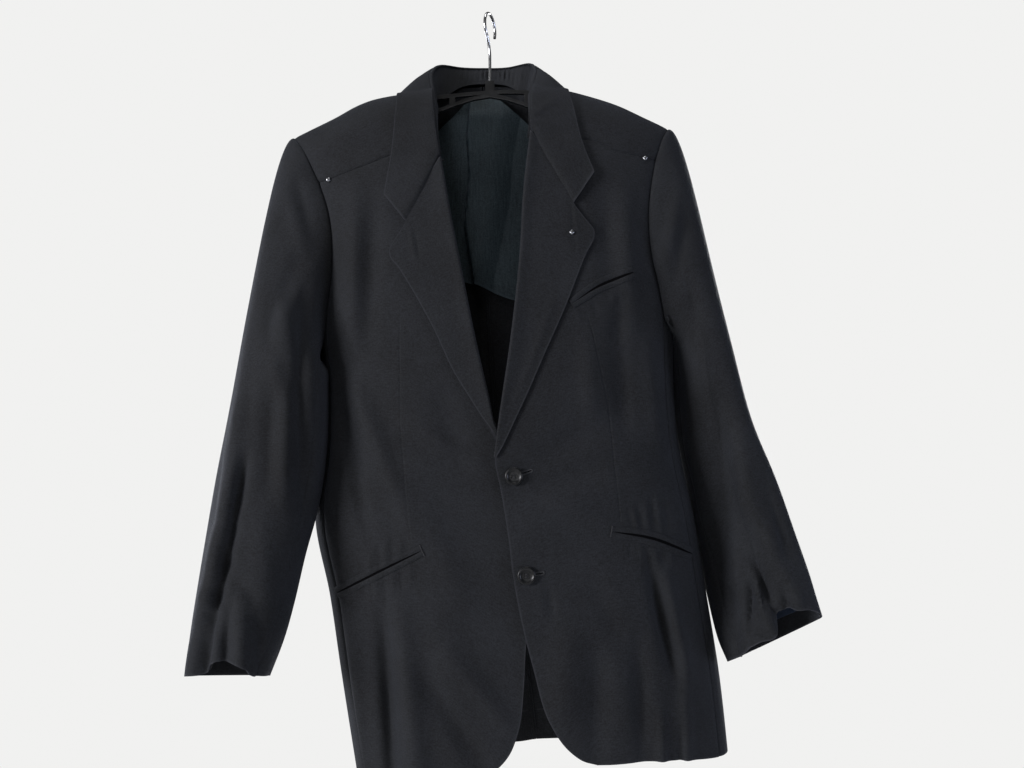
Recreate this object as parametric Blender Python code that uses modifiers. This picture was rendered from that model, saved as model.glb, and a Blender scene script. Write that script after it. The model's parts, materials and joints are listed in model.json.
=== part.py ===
"""Sport coat with a pointed front yoke, buttoned, on a plastic hanger with a wire hook.

Metres, +Z up. The coat's front faces -Y and its wearer's left is at +X. The origin is
the inner top of the hook, where a rail carries it. The cloth is made of cut panels:
each is a grid worked out on one shared body form and given its wall by Solidify.
"""
import math
from collections import namedtuple

import bmesh
import bpy
import numpy as np

# Walls and seams
CLOTH_WALL = 0.0018
LINING_WALL = 0.0011
JET_WALL = 0.0014
SEAM_GAP = 0.0004
LAYER_GAP = 0.0005

# Body form
SIDE_SQUARENESS = 2.8
SHOULDER_DROP_FRONT = 0.052
SHOULDER_DROP_BACK = 0.048
SHOULDER_SNAP = 0.0006
FRONT_SEAM_RATIO = 0.93
BACK_SEAM_RATIO = 0.87
OVERLAP_LIFT = 0.0040
OVERLAP_FADE = 0.110

# Lapels and collar
ROLL_HEIGHT = 0.0062
ROLL_WIDTH = 0.012
LEAF_LIFT = 0.0045

# Sleeves
SLEEVE_SQUARENESS = 2.3
HEAD_REACH = 0.080
FRONT_SLEEVE_SEAM = 148.0
BACK_SLEEVE_SEAM = 252.0
SEAM_ANGLE = 0.25

# Pockets, buttons and studs
JET_WIDTH = 0.0055
BUTTON_RADIUS = 0.0097
BUTTON_THICKNESS = 0.0034
BUTTON_HOLE_RADIUS = 0.0010
BUTTON_HOLE_SPACING = 0.0020
STUD_RADIUS = 0.0026
STUD_HEIGHT = 0.0017

# Hanger and hook
HANGER_THICKNESS = 0.0048
HANGER_REACH = 0.205
HANGER_CLEARANCE = 0.0033
HANGER_BAR = 0.0045
HANGER_WINDOWS = (
    (-0.150, -0.095), (-0.086, -0.049), (-0.042, -0.008), (0.008, 0.042), (0.049, 0.086), (0.095, 0.150),
)
HUB_WIDTH = 0.011
HUB_TOP = -0.083
BAR_TOP = -0.0925
WIRE_RADIUS = 0.00175
HOOK_RADIUS = 0.017
HOOK_TURN = 70.0

# Sections of the body: height, left and right silhouette, depth in front and behind
BodyRow = namedtuple("BodyRow", "z left right front back")
BODY = [
    BodyRow(-0.060, -0.300, 0.270, 0.046, 0.040),
    BodyRow(-0.150, -0.264, 0.242, 0.056, 0.044),
    BodyRow(-0.190, -0.238, 0.222, 0.062, 0.045),
    BodyRow(-0.240, -0.217, 0.213, 0.068, 0.047),
    BodyRow(-0.300, -0.208, 0.213, 0.073, 0.048),
    BodyRow(-0.390, -0.2020, 0.216, 0.079, 0.048),
    BodyRow(-0.445, -0.1960, 0.216, 0.082, 0.048),
    BodyRow(-0.520, -0.1935, 0.220, 0.086, 0.047),
    BodyRow(-0.610, -0.2000, 0.2375, 0.088, 0.048),
    BodyRow(-0.695, -0.1820, 0.2500, 0.086, 0.051),
    BodyRow(-0.780, -0.1680, 0.2625, 0.082, 0.054),
    BodyRow(-0.900, -0.1470, 0.2740, 0.077, 0.057),
]

# Height of the shoulder line along x, and of the back neck between the two neck points
RIDGE = [
    (-0.262, -0.171), (-0.236, -0.1565), (-0.218, -0.1480), (-0.181, -0.1300), (-0.160, -0.1180),
    (-0.145, -0.1115), (-0.121, -0.1055), (-0.100, -0.1025), (-0.071, -0.0990), (0.055, -0.0925),
    (0.089, -0.0975), (0.122, -0.1060), (0.155, -0.1170), (0.183, -0.1300), (0.216, -0.1455),
    (0.245, -0.162),
]
NECK_LEFT = -0.071
NECK_RIGHT = 0.055
NECK_RISE = 0.060
NECK_FADE = 0.026

# Edges in x and z. Each runs upwards, or from -X to +X.
# An armhole starts at its feet, the heights where it leaves the side seams, and ends on
# the shoulder line.
Side = namedtuple("Side", "word sign hem front_foot underarm back_foot shoulder armhole_front armhole_back")
RIGHT = Side(
    "right", -1, hem=-0.893, front_foot=-0.402, underarm=-0.418, back_foot=-0.372, shoulder=-0.236,
    armhole_front=[
        (-0.184, -0.371), (-0.180, -0.333), (-0.180, -0.295), (-0.186, -0.256), (-0.198, -0.2215),
        (-0.220, -0.1785),
    ],
    armhole_back=[(-0.182, -0.325), (-0.196, -0.260), (-0.216, -0.200)],
)
LEFT = Side(
    "left", 1, hem=-0.868, front_foot=-0.380, underarm=-0.398, back_foot=-0.355, shoulder=0.216,
    armhole_front=[
        (0.195, -0.345), (0.187, -0.308), (0.1846, -0.2675), (0.1885, -0.228), (0.195, -0.1945),
        (0.205, -0.1655),
    ],
    armhole_back=[(0.190, -0.310), (0.195, -0.250), (0.205, -0.190)],
)
ROLL_MINUS = [
    (0.046, -0.572), (0.034, -0.549), (0.020, -0.530), (0.0106, -0.515), (0.002, -0.477), (-0.013, -0.412),
    (-0.030, -0.328), (-0.040, -0.278), (-0.050, -0.2235), (-0.0580, -0.1880),
]
ROLL_PLUS = [
    (0.0084, -0.545), (0.0118, -0.508), (0.0180, -0.460), (0.0253, -0.412), (0.0359, -0.312),
    (0.0400, -0.240), (0.0440, -0.1740),
]
EDGE_MINUS = [
    (-0.050, -0.8890), (-0.018, -0.8850), (0.008, -0.874), (0.024, -0.857), (0.034, -0.832), (0.040, -0.785),
    (0.042, -0.745), (0.047, -0.705), (0.0525, -0.665), (0.052, -0.620), (0.046, -0.572),
]
EDGE_PLUS = [
    (0.118, -0.8665), (0.103, -0.862), (0.0900, -0.853), (0.0656, -0.8186), (0.0503, -0.768),
    (0.0373, -0.717), (0.0285, -0.671), (0.0225, -0.624), (0.0139, -0.572), (0.0084, -0.545),
]
NECKLINE_MINUS = [(-0.0580, -0.1880), (-0.0625, -0.150), (-0.0665, -0.118), (-0.0710, -0.0990)]
NECKLINE_PLUS = [(0.0440, -0.1740), (0.0478, -0.140), (0.0510, -0.112), (0.0550, -0.0925)]
YOKE_SEAM_MINUS = [
    (-0.198, -0.2215), (-0.176, -0.2170), (-0.158, -0.2110), (-0.141, -0.2055), (-0.110, -0.1940),
    (-0.058, -0.1880),
]
YOKE_SEAM_PLUS = [
    (0.0440, -0.1740), (0.107, -0.1750), (0.1215, -0.1765), (0.1345, -0.1810), (0.150, -0.1880),
    (0.166, -0.1905), (0.195, -0.1945),
]
CENTRE_BACK = [
    (0.056, -0.876), (0.036, -0.720), (0.012, -0.540), (-0.002, -0.360), (-0.008, -0.200), (-0.010, -0.074),
]
BACK_NECK_MINUS = [(-0.0710, -0.0990), (-0.0560, -0.0850), (-0.0380, -0.0765), (-0.0100, -0.0740)]
BACK_NECK_PLUS = [(-0.0100, -0.0740), (0.0220, -0.0745), (0.0410, -0.0800), (0.0550, -0.0925)]

# Lapels: outer edge from the break to the tip, and gorge from the roll to the tip
LAPEL_EDGE_MINUS = [
    (0.0035, -0.5085), (-0.003, -0.500), (-0.0182, -0.4766), (-0.036, -0.448), (-0.061, -0.3955),
    (-0.098, -0.331), (-0.1105, -0.3115), (-0.1100, -0.3050),
]
LAPEL_ROLL_MINUS = [
    (0.0075, -0.5050), (0.001, -0.477), (-0.014, -0.412), (-0.031, -0.328), (-0.041, -0.278),
    (-0.0550, -0.2000),
]
LAPEL_TOP_MINUS = [
    (-0.0550, -0.2000), (-0.0740, -0.2365), (-0.0930, -0.2745), (-0.1020, -0.2905), (-0.1100, -0.3050),
]
LAPEL_EDGE_PLUS = [
    (0.0100, -0.5400), (0.0150, -0.5315), (0.0300, -0.500), (0.0454, -0.4667), (0.062, -0.428),
    (0.0855, -0.3744), (0.109, -0.314), (0.1195, -0.2890), (0.1190, -0.2835),
]
LAPEL_ROLL_PLUS = [
    (0.0090, -0.5400), (0.0128, -0.508), (0.0263, -0.412), (0.0369, -0.312), (0.0410, -0.240),
    (0.0490, -0.1680),
]
LAPEL_TOP_PLUS = [
    (0.0490, -0.1680), (0.0730, -0.2110), (0.0967, -0.2526), (0.1080, -0.2685), (0.1190, -0.2835),
]

# Collar from the wearer's right notch round the neck to the left one: fold, outer edge, base
CollarRow = namedtuple("CollarRow", "fold_x fold_y fold_z edge_x edge_y edge_z base_x base_y base_z")
COLLAR = [
    CollarRow(-0.0560, -0.058, -0.1990, -0.0938, -0.068, -0.2735, -0.0530, -0.050, -0.1900),
    CollarRow(-0.0590, -0.056, -0.1830, -0.1180, -0.066, -0.2430, -0.0540, -0.048, -0.1850),
    CollarRow(-0.0635, -0.050, -0.1500, -0.1105, -0.058, -0.1900, -0.0585, -0.040, -0.1600),
    CollarRow(-0.0675, -0.034, -0.1120, -0.1075, -0.046, -0.1380, -0.0620, -0.024, -0.1280),
    CollarRow(-0.0720, 0.000, -0.0750, -0.1070, 0.000, -0.0975, -0.0660, 0.000, -0.0900),
    CollarRow(-0.0630, 0.030, -0.0560, -0.0900, 0.048, -0.1000, -0.0560, 0.022, -0.0800),
    CollarRow(-0.0380, 0.047, -0.0475, -0.0500, 0.0565, -0.0960, -0.0360, 0.034, -0.0725),
    CollarRow(-0.0080, 0.051, -0.0470, -0.0080, 0.0590, -0.0950, -0.0080, 0.038, -0.0705),
    CollarRow(0.0220, 0.047, -0.0475, 0.0340, 0.0565, -0.0945, 0.0210, 0.034, -0.0710),
    CollarRow(0.0490, 0.030, -0.0540, 0.0740, 0.048, -0.0970, 0.0430, 0.022, -0.0780),
    CollarRow(0.0560, 0.000, -0.0715, 0.0900, 0.000, -0.0930, 0.0500, 0.000, -0.0850),
    CollarRow(0.0520, -0.034, -0.1020, 0.0960, -0.044, -0.1260, 0.0465, -0.024, -0.1150),
    CollarRow(0.0500, -0.050, -0.1330, 0.1075, -0.058, -0.1800, 0.0440, -0.040, -0.1400),
    CollarRow(0.0490, -0.054, -0.1530, 0.1205, -0.066, -0.2165, 0.0420, -0.046, -0.1600),
    CollarRow(0.0498, -0.056, -0.1665, 0.0976, -0.068, -0.2515, 0.0415, -0.048, -0.1680),
]

# Sleeve sections below the armhole: inner edge, outer edge, half depth across, front lift
SleeveRow = namedtuple("SleeveRow", "x_in y_in z_in x_out y_out z_out half_depth lift")
SLEEVE_MINUS = [
    SleeveRow(-0.1965, -0.045, -0.4550, -0.2810, -0.036, -0.407, 0.047, 0.004),
    SleeveRow(-0.1895, -0.056, -0.5250, -0.2905, -0.046, -0.486, 0.047, 0.004),
    SleeveRow(-0.1890, -0.062, -0.5900, -0.3010, -0.055, -0.562, 0.045, 0.004),
    SleeveRow(-0.1995, -0.067, -0.6450, -0.3100, -0.061, -0.637, 0.044, 0.005),
    SleeveRow(-0.2095, -0.072, -0.6950, -0.3160, -0.066, -0.693, 0.043, 0.006),
    SleeveRow(-0.2190, -0.077, -0.7340, -0.3190, -0.072, -0.734, 0.042, 0.007),
    SleeveRow(-0.2330, -0.080, -0.7725, -0.3200, -0.076, -0.774, 0.041, 0.008),
]
SLEEVE_PLUS = [
    SleeveRow(0.2190, 0.020, -0.4180, 0.2790, -0.020, -0.403, 0.051, 0.004),
    SleeveRow(0.2210, 0.026, -0.5060, 0.3010, -0.024, -0.496, 0.050, 0.005),
    SleeveRow(0.2377, 0.024, -0.5896, 0.3270, -0.030, -0.566, 0.046, 0.006),
    SleeveRow(0.2470, 0.018, -0.6470, 0.3450, -0.036, -0.625, 0.043, 0.007),
    SleeveRow(0.2555, 0.002, -0.7050, 0.3570, -0.044, -0.667, 0.038, 0.008),
    SleeveRow(0.2600, -0.022, -0.7420, 0.3630, -0.050, -0.694, 0.035, 0.009),
    SleeveRow(0.2670, -0.040, -0.7660, 0.3680, -0.054, -0.716, 0.033, 0.010),
]

# Largest folds of the fronts: a line in x and z, its half width, and its height outwards
Fold = namedtuple("Fold", "x0 z0 x1 z1 width height")
FRONT_FOLDS = [
    Fold(0.010, -0.575, 0.170, -0.470, 0.016, -0.0030),
    Fold(0.030, -0.600, 0.200, -0.560, 0.014, 0.0022),
    Fold(-0.020, -0.560, -0.150, -0.470, 0.016, -0.0026),
    Fold(-0.030, -0.590, -0.170, -0.560, 0.014, 0.0020),
    Fold(0.150, -0.240, 0.160, -0.420, 0.014, 0.0030),
    Fold(-0.150, -0.240, -0.158, -0.430, 0.014, 0.0030),
    Fold(0.120, -0.640, 0.150, -0.840, 0.020, 0.0036),
    Fold(0.190, -0.660, 0.215, -0.840, 0.016, -0.0034),
    Fold(-0.060, -0.660, -0.030, -0.870, 0.020, 0.0036),
    Fold(-0.120, -0.690, -0.095, -0.860, 0.016, -0.0034),
]
BACK_FOLDS = [
    Fold(-0.110, -0.240, -0.080, -0.850, 0.018, 0.0036),
    Fold(-0.055, -0.330, -0.010, -0.850, 0.016, -0.0030),
    Fold(0.080, -0.300, 0.130, -0.840, 0.018, 0.0036),
    Fold(0.120, -0.230, 0.195, -0.830, 0.015, -0.0030),
]

# Folds of the sleeves: along and round the tube, their half widths, and height outwards
SleeveFold = namedtuple("SleeveFold", "along0 round0 along1 round1 width height")
SLEEVE_FOLDS_MINUS = [
    SleeveFold(0.20, 40.0, 0.52, 75.0, 9.0, 0.0030),
    SleeveFold(0.50, 60.0, 0.70, 115.0, 9.0, -0.0032),
    SleeveFold(0.62, 40.0, 0.78, 100.0, 8.0, 0.0030),
    SleeveFold(0.74, 70.0, 1.00, 88.0, 9.0, 0.0034),
    SleeveFold(0.30, 300.0, 0.60, 330.0, 10.0, 0.0030),
    SleeveFold(0.62, 290.0, 0.82, 340.0, 10.0, -0.0030),
]
SLEEVE_FOLDS_PLUS = [
    SleeveFold(0.18, 80.0, 0.46, 110.0, 9.0, -0.0030),
    SleeveFold(0.40, 60.0, 0.66, 90.0, 9.0, 0.0030),
    SleeveFold(0.70, 95.0, 1.00, 110.0, 8.0, -0.0034),
    SleeveFold(0.74, 60.0, 1.00, 72.0, 9.0, 0.0030),
    SleeveFold(0.36, 290.0, 0.62, 330.0, 10.0, 0.0030),
    SleeveFold(0.66, 300.0, 0.86, 340.0, 10.0, -0.0030),
]

# Pocket mouths in x and z, and the places of the buttons and studs
POCKET_MINUS = [(-0.168, -0.690), (-0.1247, -0.6673), (-0.0700, -0.6400)]
POCKET_PLUS = [(0.1350, -0.6200), (0.1809, -0.6284), (0.2280, -0.6470)]
POCKET_BREAST = [(0.0930, -0.3700), (0.1244, -0.3486), (0.1640, -0.3320)]
BUTTONS = {"button_top": (0.0290, -0.5605), "button_bottom": (0.0425, -0.6660)}
YOKE_STUDS = {"stud_yoke_right": (-0.1850, -0.2205), "stud_yoke_left": (0.1810, -0.1940)}
LAPEL_STUD = (0.0940, -0.2880)

# Finishes: colour, roughness, metallic
FINISHES = {
    "suiting": ((0.018, 0.020, 0.026), 0.85, 0.0),
    "satin_lining": ((0.016, 0.022, 0.022), 0.45, 0.0),
    "button_horn": ((0.008, 0.008, 0.009), 0.25, 0.0),
    "stud_metal": ((0.75, 0.75, 0.76), 0.20, 1.0),
    "hanger_plastic": ((0.010, 0.010, 0.012), 0.40, 0.0),
    "hook_steel": ((0.62, 0.62, 0.63), 0.22, 1.0),
}


def smooth(knots, values, at):
    """Read a smooth curve through a table's rows at any number of places."""
    knots = np.asarray(knots, dtype=float)
    values = np.asarray(values, dtype=float)
    at = np.clip(np.asarray(at, dtype=float), knots[0], knots[-1])
    slopes = np.gradient(values, knots, axis=0)
    i = np.clip(np.searchsorted(knots, at, side="right") - 1, 0, len(knots) - 2)
    step = knots[i + 1] - knots[i]
    t = (at - knots[i]) / step
    if values.ndim == 2:
        t = t[..., None]
        step = step[..., None]
    start = (2 * t**3 - 3 * t**2 + 1) * values[i] + (t**3 - 2 * t**2 + t) * step * slopes[i]
    return start + (3 * t**2 - 2 * t**3) * values[i + 1] + (t**3 - t**2) * step * slopes[i + 1]


def curve(points, t):
    """Points at fractions t of the length of a smooth curve through the given points."""
    points = np.asarray(points, dtype=float)
    lengths = np.linalg.norm(np.diff(points, axis=0), axis=1)
    knots = np.concatenate([[0.0], np.cumsum(lengths)])
    return smooth(knots / knots[-1], points, t)


def body_section(z):
    """Middle, half width, front depth and back depth of the body at a height."""
    row = smooth([-r.z for r in BODY], [r[1:] for r in BODY], -np.asarray(z))
    left, right, front, back = np.moveaxis(row, -1, 0)
    return (left + right) / 2, (right - left) / 2, front, back


def ridge(x):
    """Height of the shoulder line."""
    table = np.array(RIDGE)
    return smooth(table[:, 0], table[:, 1], x)


def fold_heights(folds, a, b):
    """Sum of soft ridges and troughs, each along its own line, fading at its ends."""
    total = np.zeros(np.broadcast(a, b).shape)
    for fold in folds:
        a0, b0, a1, b1, width, height = fold
        length = math.hypot(a1 - a0, b1 - b0)
        run = ((a - a0) * (a1 - a0) + (b - b0) * (b1 - b0)) / length**2
        away = ((a - a0) * (b1 - b0) - (b - b0) * (a1 - a0)) / length
        fade = np.sin(np.pi * np.clip(run, 0.0, 1.0)) ** 0.8
        total = total + height * fade * np.exp(-(away / width) ** 2)
    return total


def side_rounding(x, z):
    """Share of the depth that is left at x, from 1 in the middle to 0 at the side."""
    middle, half, _, _ = body_section(z)
    across = np.clip(np.abs(x - middle) / half, 0.0, 1.0)
    return (1 - across**SIDE_SQUARENESS) ** (1 / SIDE_SQUARENESS)


def shoulder_rounding(fall):
    """Share of the depth that is left near the shoulder line."""
    fall = np.clip(fall, 0.0, 1.0)
    return np.sqrt(1 - (1 - fall) ** 2)


def front_y(x, z):
    """The coat's outer front surface."""
    depth = body_section(z)[2] * side_rounding(x, z)
    rounding = shoulder_rounding((ridge(x) - z) / SHOULDER_DROP_FRONT)
    return -depth * rounding - fold_heights(FRONT_FOLDS, x, z)


def front_left_y(x, z):
    """The wearer's left front: it lies over the right one along the buttoned edge."""
    edge = np.array(EDGE_PLUS)
    start = smooth(edge[:, 1], edge[:, 0], z)
    near = np.clip(1 - (x - start) / OVERLAP_FADE, 0.0, 1.0)
    below_lapel = np.clip((-0.30 - z) / 0.20, 0.0, 1.0)
    return front_y(x, z) - OVERLAP_LIFT * near**2 * (3 - 2 * near) * below_lapel


def back_y(x, z):
    """The coat's outer back surface, which stands up to the neck between the shoulders."""
    depth = body_section(z)[3] * side_rounding(x, z)
    inside = np.minimum(x - NECK_LEFT, NECK_RIGHT - x)
    rise = NECK_RISE * np.clip(inside / NECK_FADE, 0.0, 1.0)
    rounding = shoulder_rounding((ridge(x) + rise - z) / SHOULDER_DROP_BACK)
    return depth * rounding + fold_heights(BACK_FOLDS, x, z)


def seam_x(z, side, ratio):
    """Place of a side seam at a height, as a share of the half width."""
    middle, half, _, _ = body_section(z)
    return middle + side * ratio * half


def even(t):
    """Fractions left as they are."""
    return t


def crowd_start(t):
    """Fractions that lie closer together near 0, where a panel turns into the side."""
    return t**1.35


def crowd_end(t):
    """Fractions that lie closer together near 1."""
    return 1 - crowd_start(1 - t)


def crowd_both(t):
    """Fractions that lie closer together near 0 and 1."""
    return (1 - np.cos(t * math.pi)) / 2


def crowd_top(t):
    """Fractions that lie closer together near 1, where a panel meets the shoulder."""
    return np.sin(t * math.pi / 2)


def patch(bottom, top, left, right, u, v):
    """Grid in x and z between a panel's four edges."""
    low, high = curve(bottom, u)[None, :, :], curve(top, u)[None, :, :]
    near, far = curve(left, v)[:, None, :], curve(right, v)[:, None, :]
    across, up = u[None, :, None], v[:, None, None]
    corners = (1 - up) * ((1 - across) * np.array(bottom[0]) + across * np.array(bottom[-1]))
    corners = corners + up * ((1 - across) * np.array(top[0]) + across * np.array(top[-1]))
    return (1 - up) * low + up * high + (1 - across) * near + across * far - corners


def steps(count, trim=0.0, crowd=even):
    """Fractions from 0 to 1, drawn in at both ends by the share that half a seam's gap takes."""
    return trim + (1 - 2 * trim) * crowd(np.linspace(0, 1, count + 1))


def moved_out(points, distance):
    """A grid of points moved along its surface's outward normals."""
    along, up = np.gradient(points, axis=1), np.gradient(points, axis=0)
    normal = np.cross(along, up)
    normal = normal / np.linalg.norm(normal, axis=2)[..., None]
    return points + normal * np.broadcast_to(distance, points.shape[:2])[..., None]


def finish_of(name):
    """The material of a finish."""
    if name in bpy.data.materials:
        return bpy.data.materials[name]
    colour, roughness, metallic = FINISHES[name]
    material = bpy.data.materials.new(name)
    material.use_nodes = True
    shader = material.node_tree.nodes["Principled BSDF"]
    shader.inputs["Base Color"].default_value = (*colour, 1.0)
    shader.inputs["Roughness"].default_value = roughness
    shader.inputs["Metallic"].default_value = metallic
    return material


def place(name, mesh, finish, group):
    """An object for a piece, with its own copy of its finish."""
    piece = bpy.data.objects.new(name, mesh)
    material = finish_of(finish).copy()
    material.name = name
    piece.data.materials.clear()
    piece.data.materials.append(material)
    group.objects.link(piece)
    return piece


def grid_mesh(name, points):
    """Open surface through a grid of points, its rows and columns in order."""
    rows, columns, _ = points.shape
    corners = [(r * columns + c) for r in range(rows - 1) for c in range(columns - 1)]
    faces = [(i, i + 1, i + columns + 1, i + columns) for i in corners]
    mesh = bpy.data.meshes.new(name)
    mesh.from_pydata(points.reshape(-1, 3).tolist(), [], faces)
    mesh.shade_smooth()
    return mesh


def cloth(name, points, wall, offset, group, finish="suiting"):
    """A panel: an open surface given its wall by Solidify, inwards (-1) or outwards (1)."""
    piece = place(name, grid_mesh(name, points), finish, group)
    solidify = piece.modifiers.new("wall", "SOLIDIFY")
    solidify.thickness = wall
    solidify.offset = offset
    solidify.use_even_offset = False
    return piece


def on_surface(grid, surface):
    """Points in space for a grid in x and z."""
    x, z = grid[..., 0], grid[..., 1]
    return np.stack([x, surface(x, z), z], axis=-1)


def side_edge(side, ratio, foot, armhole):
    """A panel's outer edge: up its side seam and on along the armhole."""
    heights = np.linspace(side.hem, foot, 70)
    seam = [(float(seam_x(z, side.sign, ratio)), float(z)) for z in heights]
    return seam[:-1] + curve([seam[-1]] + armhole, steps(50)).tolist()


def shoulder_point(side):
    """The top of the armhole, on the shoulder line."""
    return (side.shoulder, float(ridge(side.shoulder)))


def make_fronts(group):
    """The two fronts, from the hem to the yoke seam."""
    v = steps(24, 0.0004, crowd_start)
    outer = side_edge(RIGHT, FRONT_SEAM_RATIO, RIGHT.front_foot, RIGHT.armhole_front[:5])
    bottom = [outer[0], (-0.100, -0.8925), EDGE_MINUS[0]]
    inner = EDGE_MINUS + ROLL_MINUS[1:]
    plan = patch(bottom, YOKE_SEAM_MINUS, outer, inner, steps(16, 0.0016, crowd_start), v)
    cloth("front_right", on_surface(plan, front_y), CLOTH_WALL, -1, group)

    outer = side_edge(LEFT, FRONT_SEAM_RATIO, LEFT.front_foot, LEFT.armhole_front[:5])
    bottom = [EDGE_PLUS[0], (0.180, -0.8640), outer[0]]
    inner = EDGE_PLUS + ROLL_PLUS[1:]
    plan = patch(bottom, YOKE_SEAM_PLUS, inner, outer, steps(16, 0.0016, crowd_end), v)
    cloth("front_left", on_surface(plan, front_left_y), CLOTH_WALL, -1, group)


def make_yokes(group):
    """The front yokes, from their seam up to the shoulder line."""
    u = steps(12, 0.0020)
    v = 0.005 + 0.995 * crowd_top(steps(8))
    for side, seam, neckline in (
        (RIGHT, YOKE_SEAM_MINUS, NECKLINE_MINUS),
        (LEFT, YOKE_SEAM_PLUS[::-1], NECKLINE_PLUS),
    ):
        armhole = side.armhole_front[4:] + [shoulder_point(side)]
        top = [(float(x), float(ridge(x))) for x in np.linspace(side.shoulder, neckline[-1][0], 15)]
        plan = patch(seam, top, armhole, neckline, u, v)
        plan[-1, :, 1] = ridge(plan[-1, :, 0])
        points = on_surface(plan, front_y)
        points[..., 1] = np.minimum(points[..., 1], -SEAM_GAP)
        cloth(f"yoke_{side.word}", points[:, ::-side.sign], CLOTH_WALL, -1, group)


def underarm_height(side, turn):
    """Top edge of a side panel: it dips below the arm."""
    ends = side.front_foot + (side.back_foot - side.front_foot) * turn
    return ends - (ends - side.underarm) * np.sin(np.pi * turn) ** 0.7


def side_points(side, turn, rise):
    """Points of a side panel, by its turn from front to back and its rise from the hem."""
    top = underarm_height(side, turn)
    z = side.hem + (top[None, :] - side.hem) * rise[:, None]
    middle, half, front, back = body_section(z)
    power = 2 / SIDE_SQUARENESS
    begin = math.acos(FRONT_SEAM_RATIO ** (1 / power))
    end = math.acos(BACK_SEAM_RATIO ** (1 / power))
    angle = -begin + (begin + end) * turn[None, :]
    depth = np.where(angle < 0, front, back)
    x = middle + side.sign * half * np.cos(angle) ** power
    y = depth * np.sign(angle) * np.abs(np.sin(angle)) ** power
    return np.stack([x, y, z], axis=-1)


def make_sides(group):
    """The side panels, from the front's side seam round to the back's."""
    for side in (RIGHT, LEFT):
        points = side_points(side, steps(8, 0.0065, crowd_both), steps(16))
        cloth(f"side_{side.word}", points[:, ::side.sign], CLOTH_WALL, -1, group)


def make_backs(group):
    """The two back panels, joined at the centre back and running up to the shoulders."""
    v = np.concatenate([steps(12) * 0.80, 0.80 + 0.20 * crowd_top(steps(9))[1:]])
    hem_middle = {"right": (-0.03, -0.886), "left": (0.17, -0.872)}
    for side, neck in ((RIGHT, BACK_NECK_MINUS), (LEFT, BACK_NECK_PLUS[::-1])):
        outer = side_edge(side, BACK_SEAM_RATIO, side.back_foot, side.armhole_back + [shoulder_point(side)])
        slope = [(float(x), float(ridge(x))) for x in np.linspace(outer[-1][0], neck[0][0], 7)]
        top = slope + neck[1:]
        bottom = [outer[0], hem_middle[side.word], CENTRE_BACK[0]]
        plan = patch(bottom, top, outer, CENTRE_BACK, steps(13, 0.0022, crowd_start), v)
        on_slope = np.abs(plan[-1, :, 1] - ridge(plan[-1, :, 0])) < SHOULDER_SNAP
        plan[-1, on_slope, 1] = ridge(plan[-1, on_slope, 0])
        points = on_surface(plan, back_y)
        points[..., 1] = np.maximum(points[..., 1], SEAM_GAP)
        cloth(f"back_{side.word}", points[:, ::side.sign], CLOTH_WALL, -1, group)


def armhole_loop(side, round_angles):
    """Armhole seam in space: from the shoulder down the front, under, and up the back."""
    front_foot = (float(seam_x(side.front_foot, side.sign, FRONT_SEAM_RATIO)), side.front_foot)
    back_foot = (float(seam_x(side.back_foot, side.sign, BACK_SEAM_RATIO)), side.back_foot)
    top = shoulder_point(side)
    down = on_surface(np.array([top] + side.armhole_front[::-1] + [front_foot]), front_y)
    up = on_surface(np.array([back_foot] + side.armhole_back + [top]), back_y)
    below = side_points(side, np.array([0.2, 0.5, 0.8]), np.array([1.0]))[0]
    first = np.vstack([down, below[:2]])
    second = np.vstack([below[1:], up])
    angles = np.asarray(round_angles) % 360.0
    in_front = curve(first, np.clip(angles / 180.0, 0, 1))
    behind = curve(second, np.clip(angles / 180.0 - 1, 0, 1))
    return np.where((angles <= 180.0)[:, None], in_front, behind)


def tube_points(rows, along, angles):
    """Inner points of the sleeve below the armhole, by rows and by angle round it."""
    row = smooth(np.linspace(0, 1, len(rows)), np.array(rows), along)
    inner, outer = row[:, None, 0:3], row[:, None, 3:6]
    half = (outer - inner) / 2
    half = half * (1 - CLOTH_WALL / np.linalg.norm(half, axis=2)[..., None])
    depth, lift = row[:, None, 6] - CLOTH_WALL, row[:, None, 7]
    turn = np.radians(angles)[None, :]
    power = 2 / SLEEVE_SQUARENESS
    out = np.sign(np.cos(turn)) * np.abs(np.cos(turn)) ** power
    fore = np.sign(np.sin(turn)) * np.abs(np.sin(turn)) ** power
    points = (inner + outer) / 2 + half * out[..., None]
    points[..., 1] -= depth * fore
    points[..., 2] += lift * fore
    return points


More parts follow.
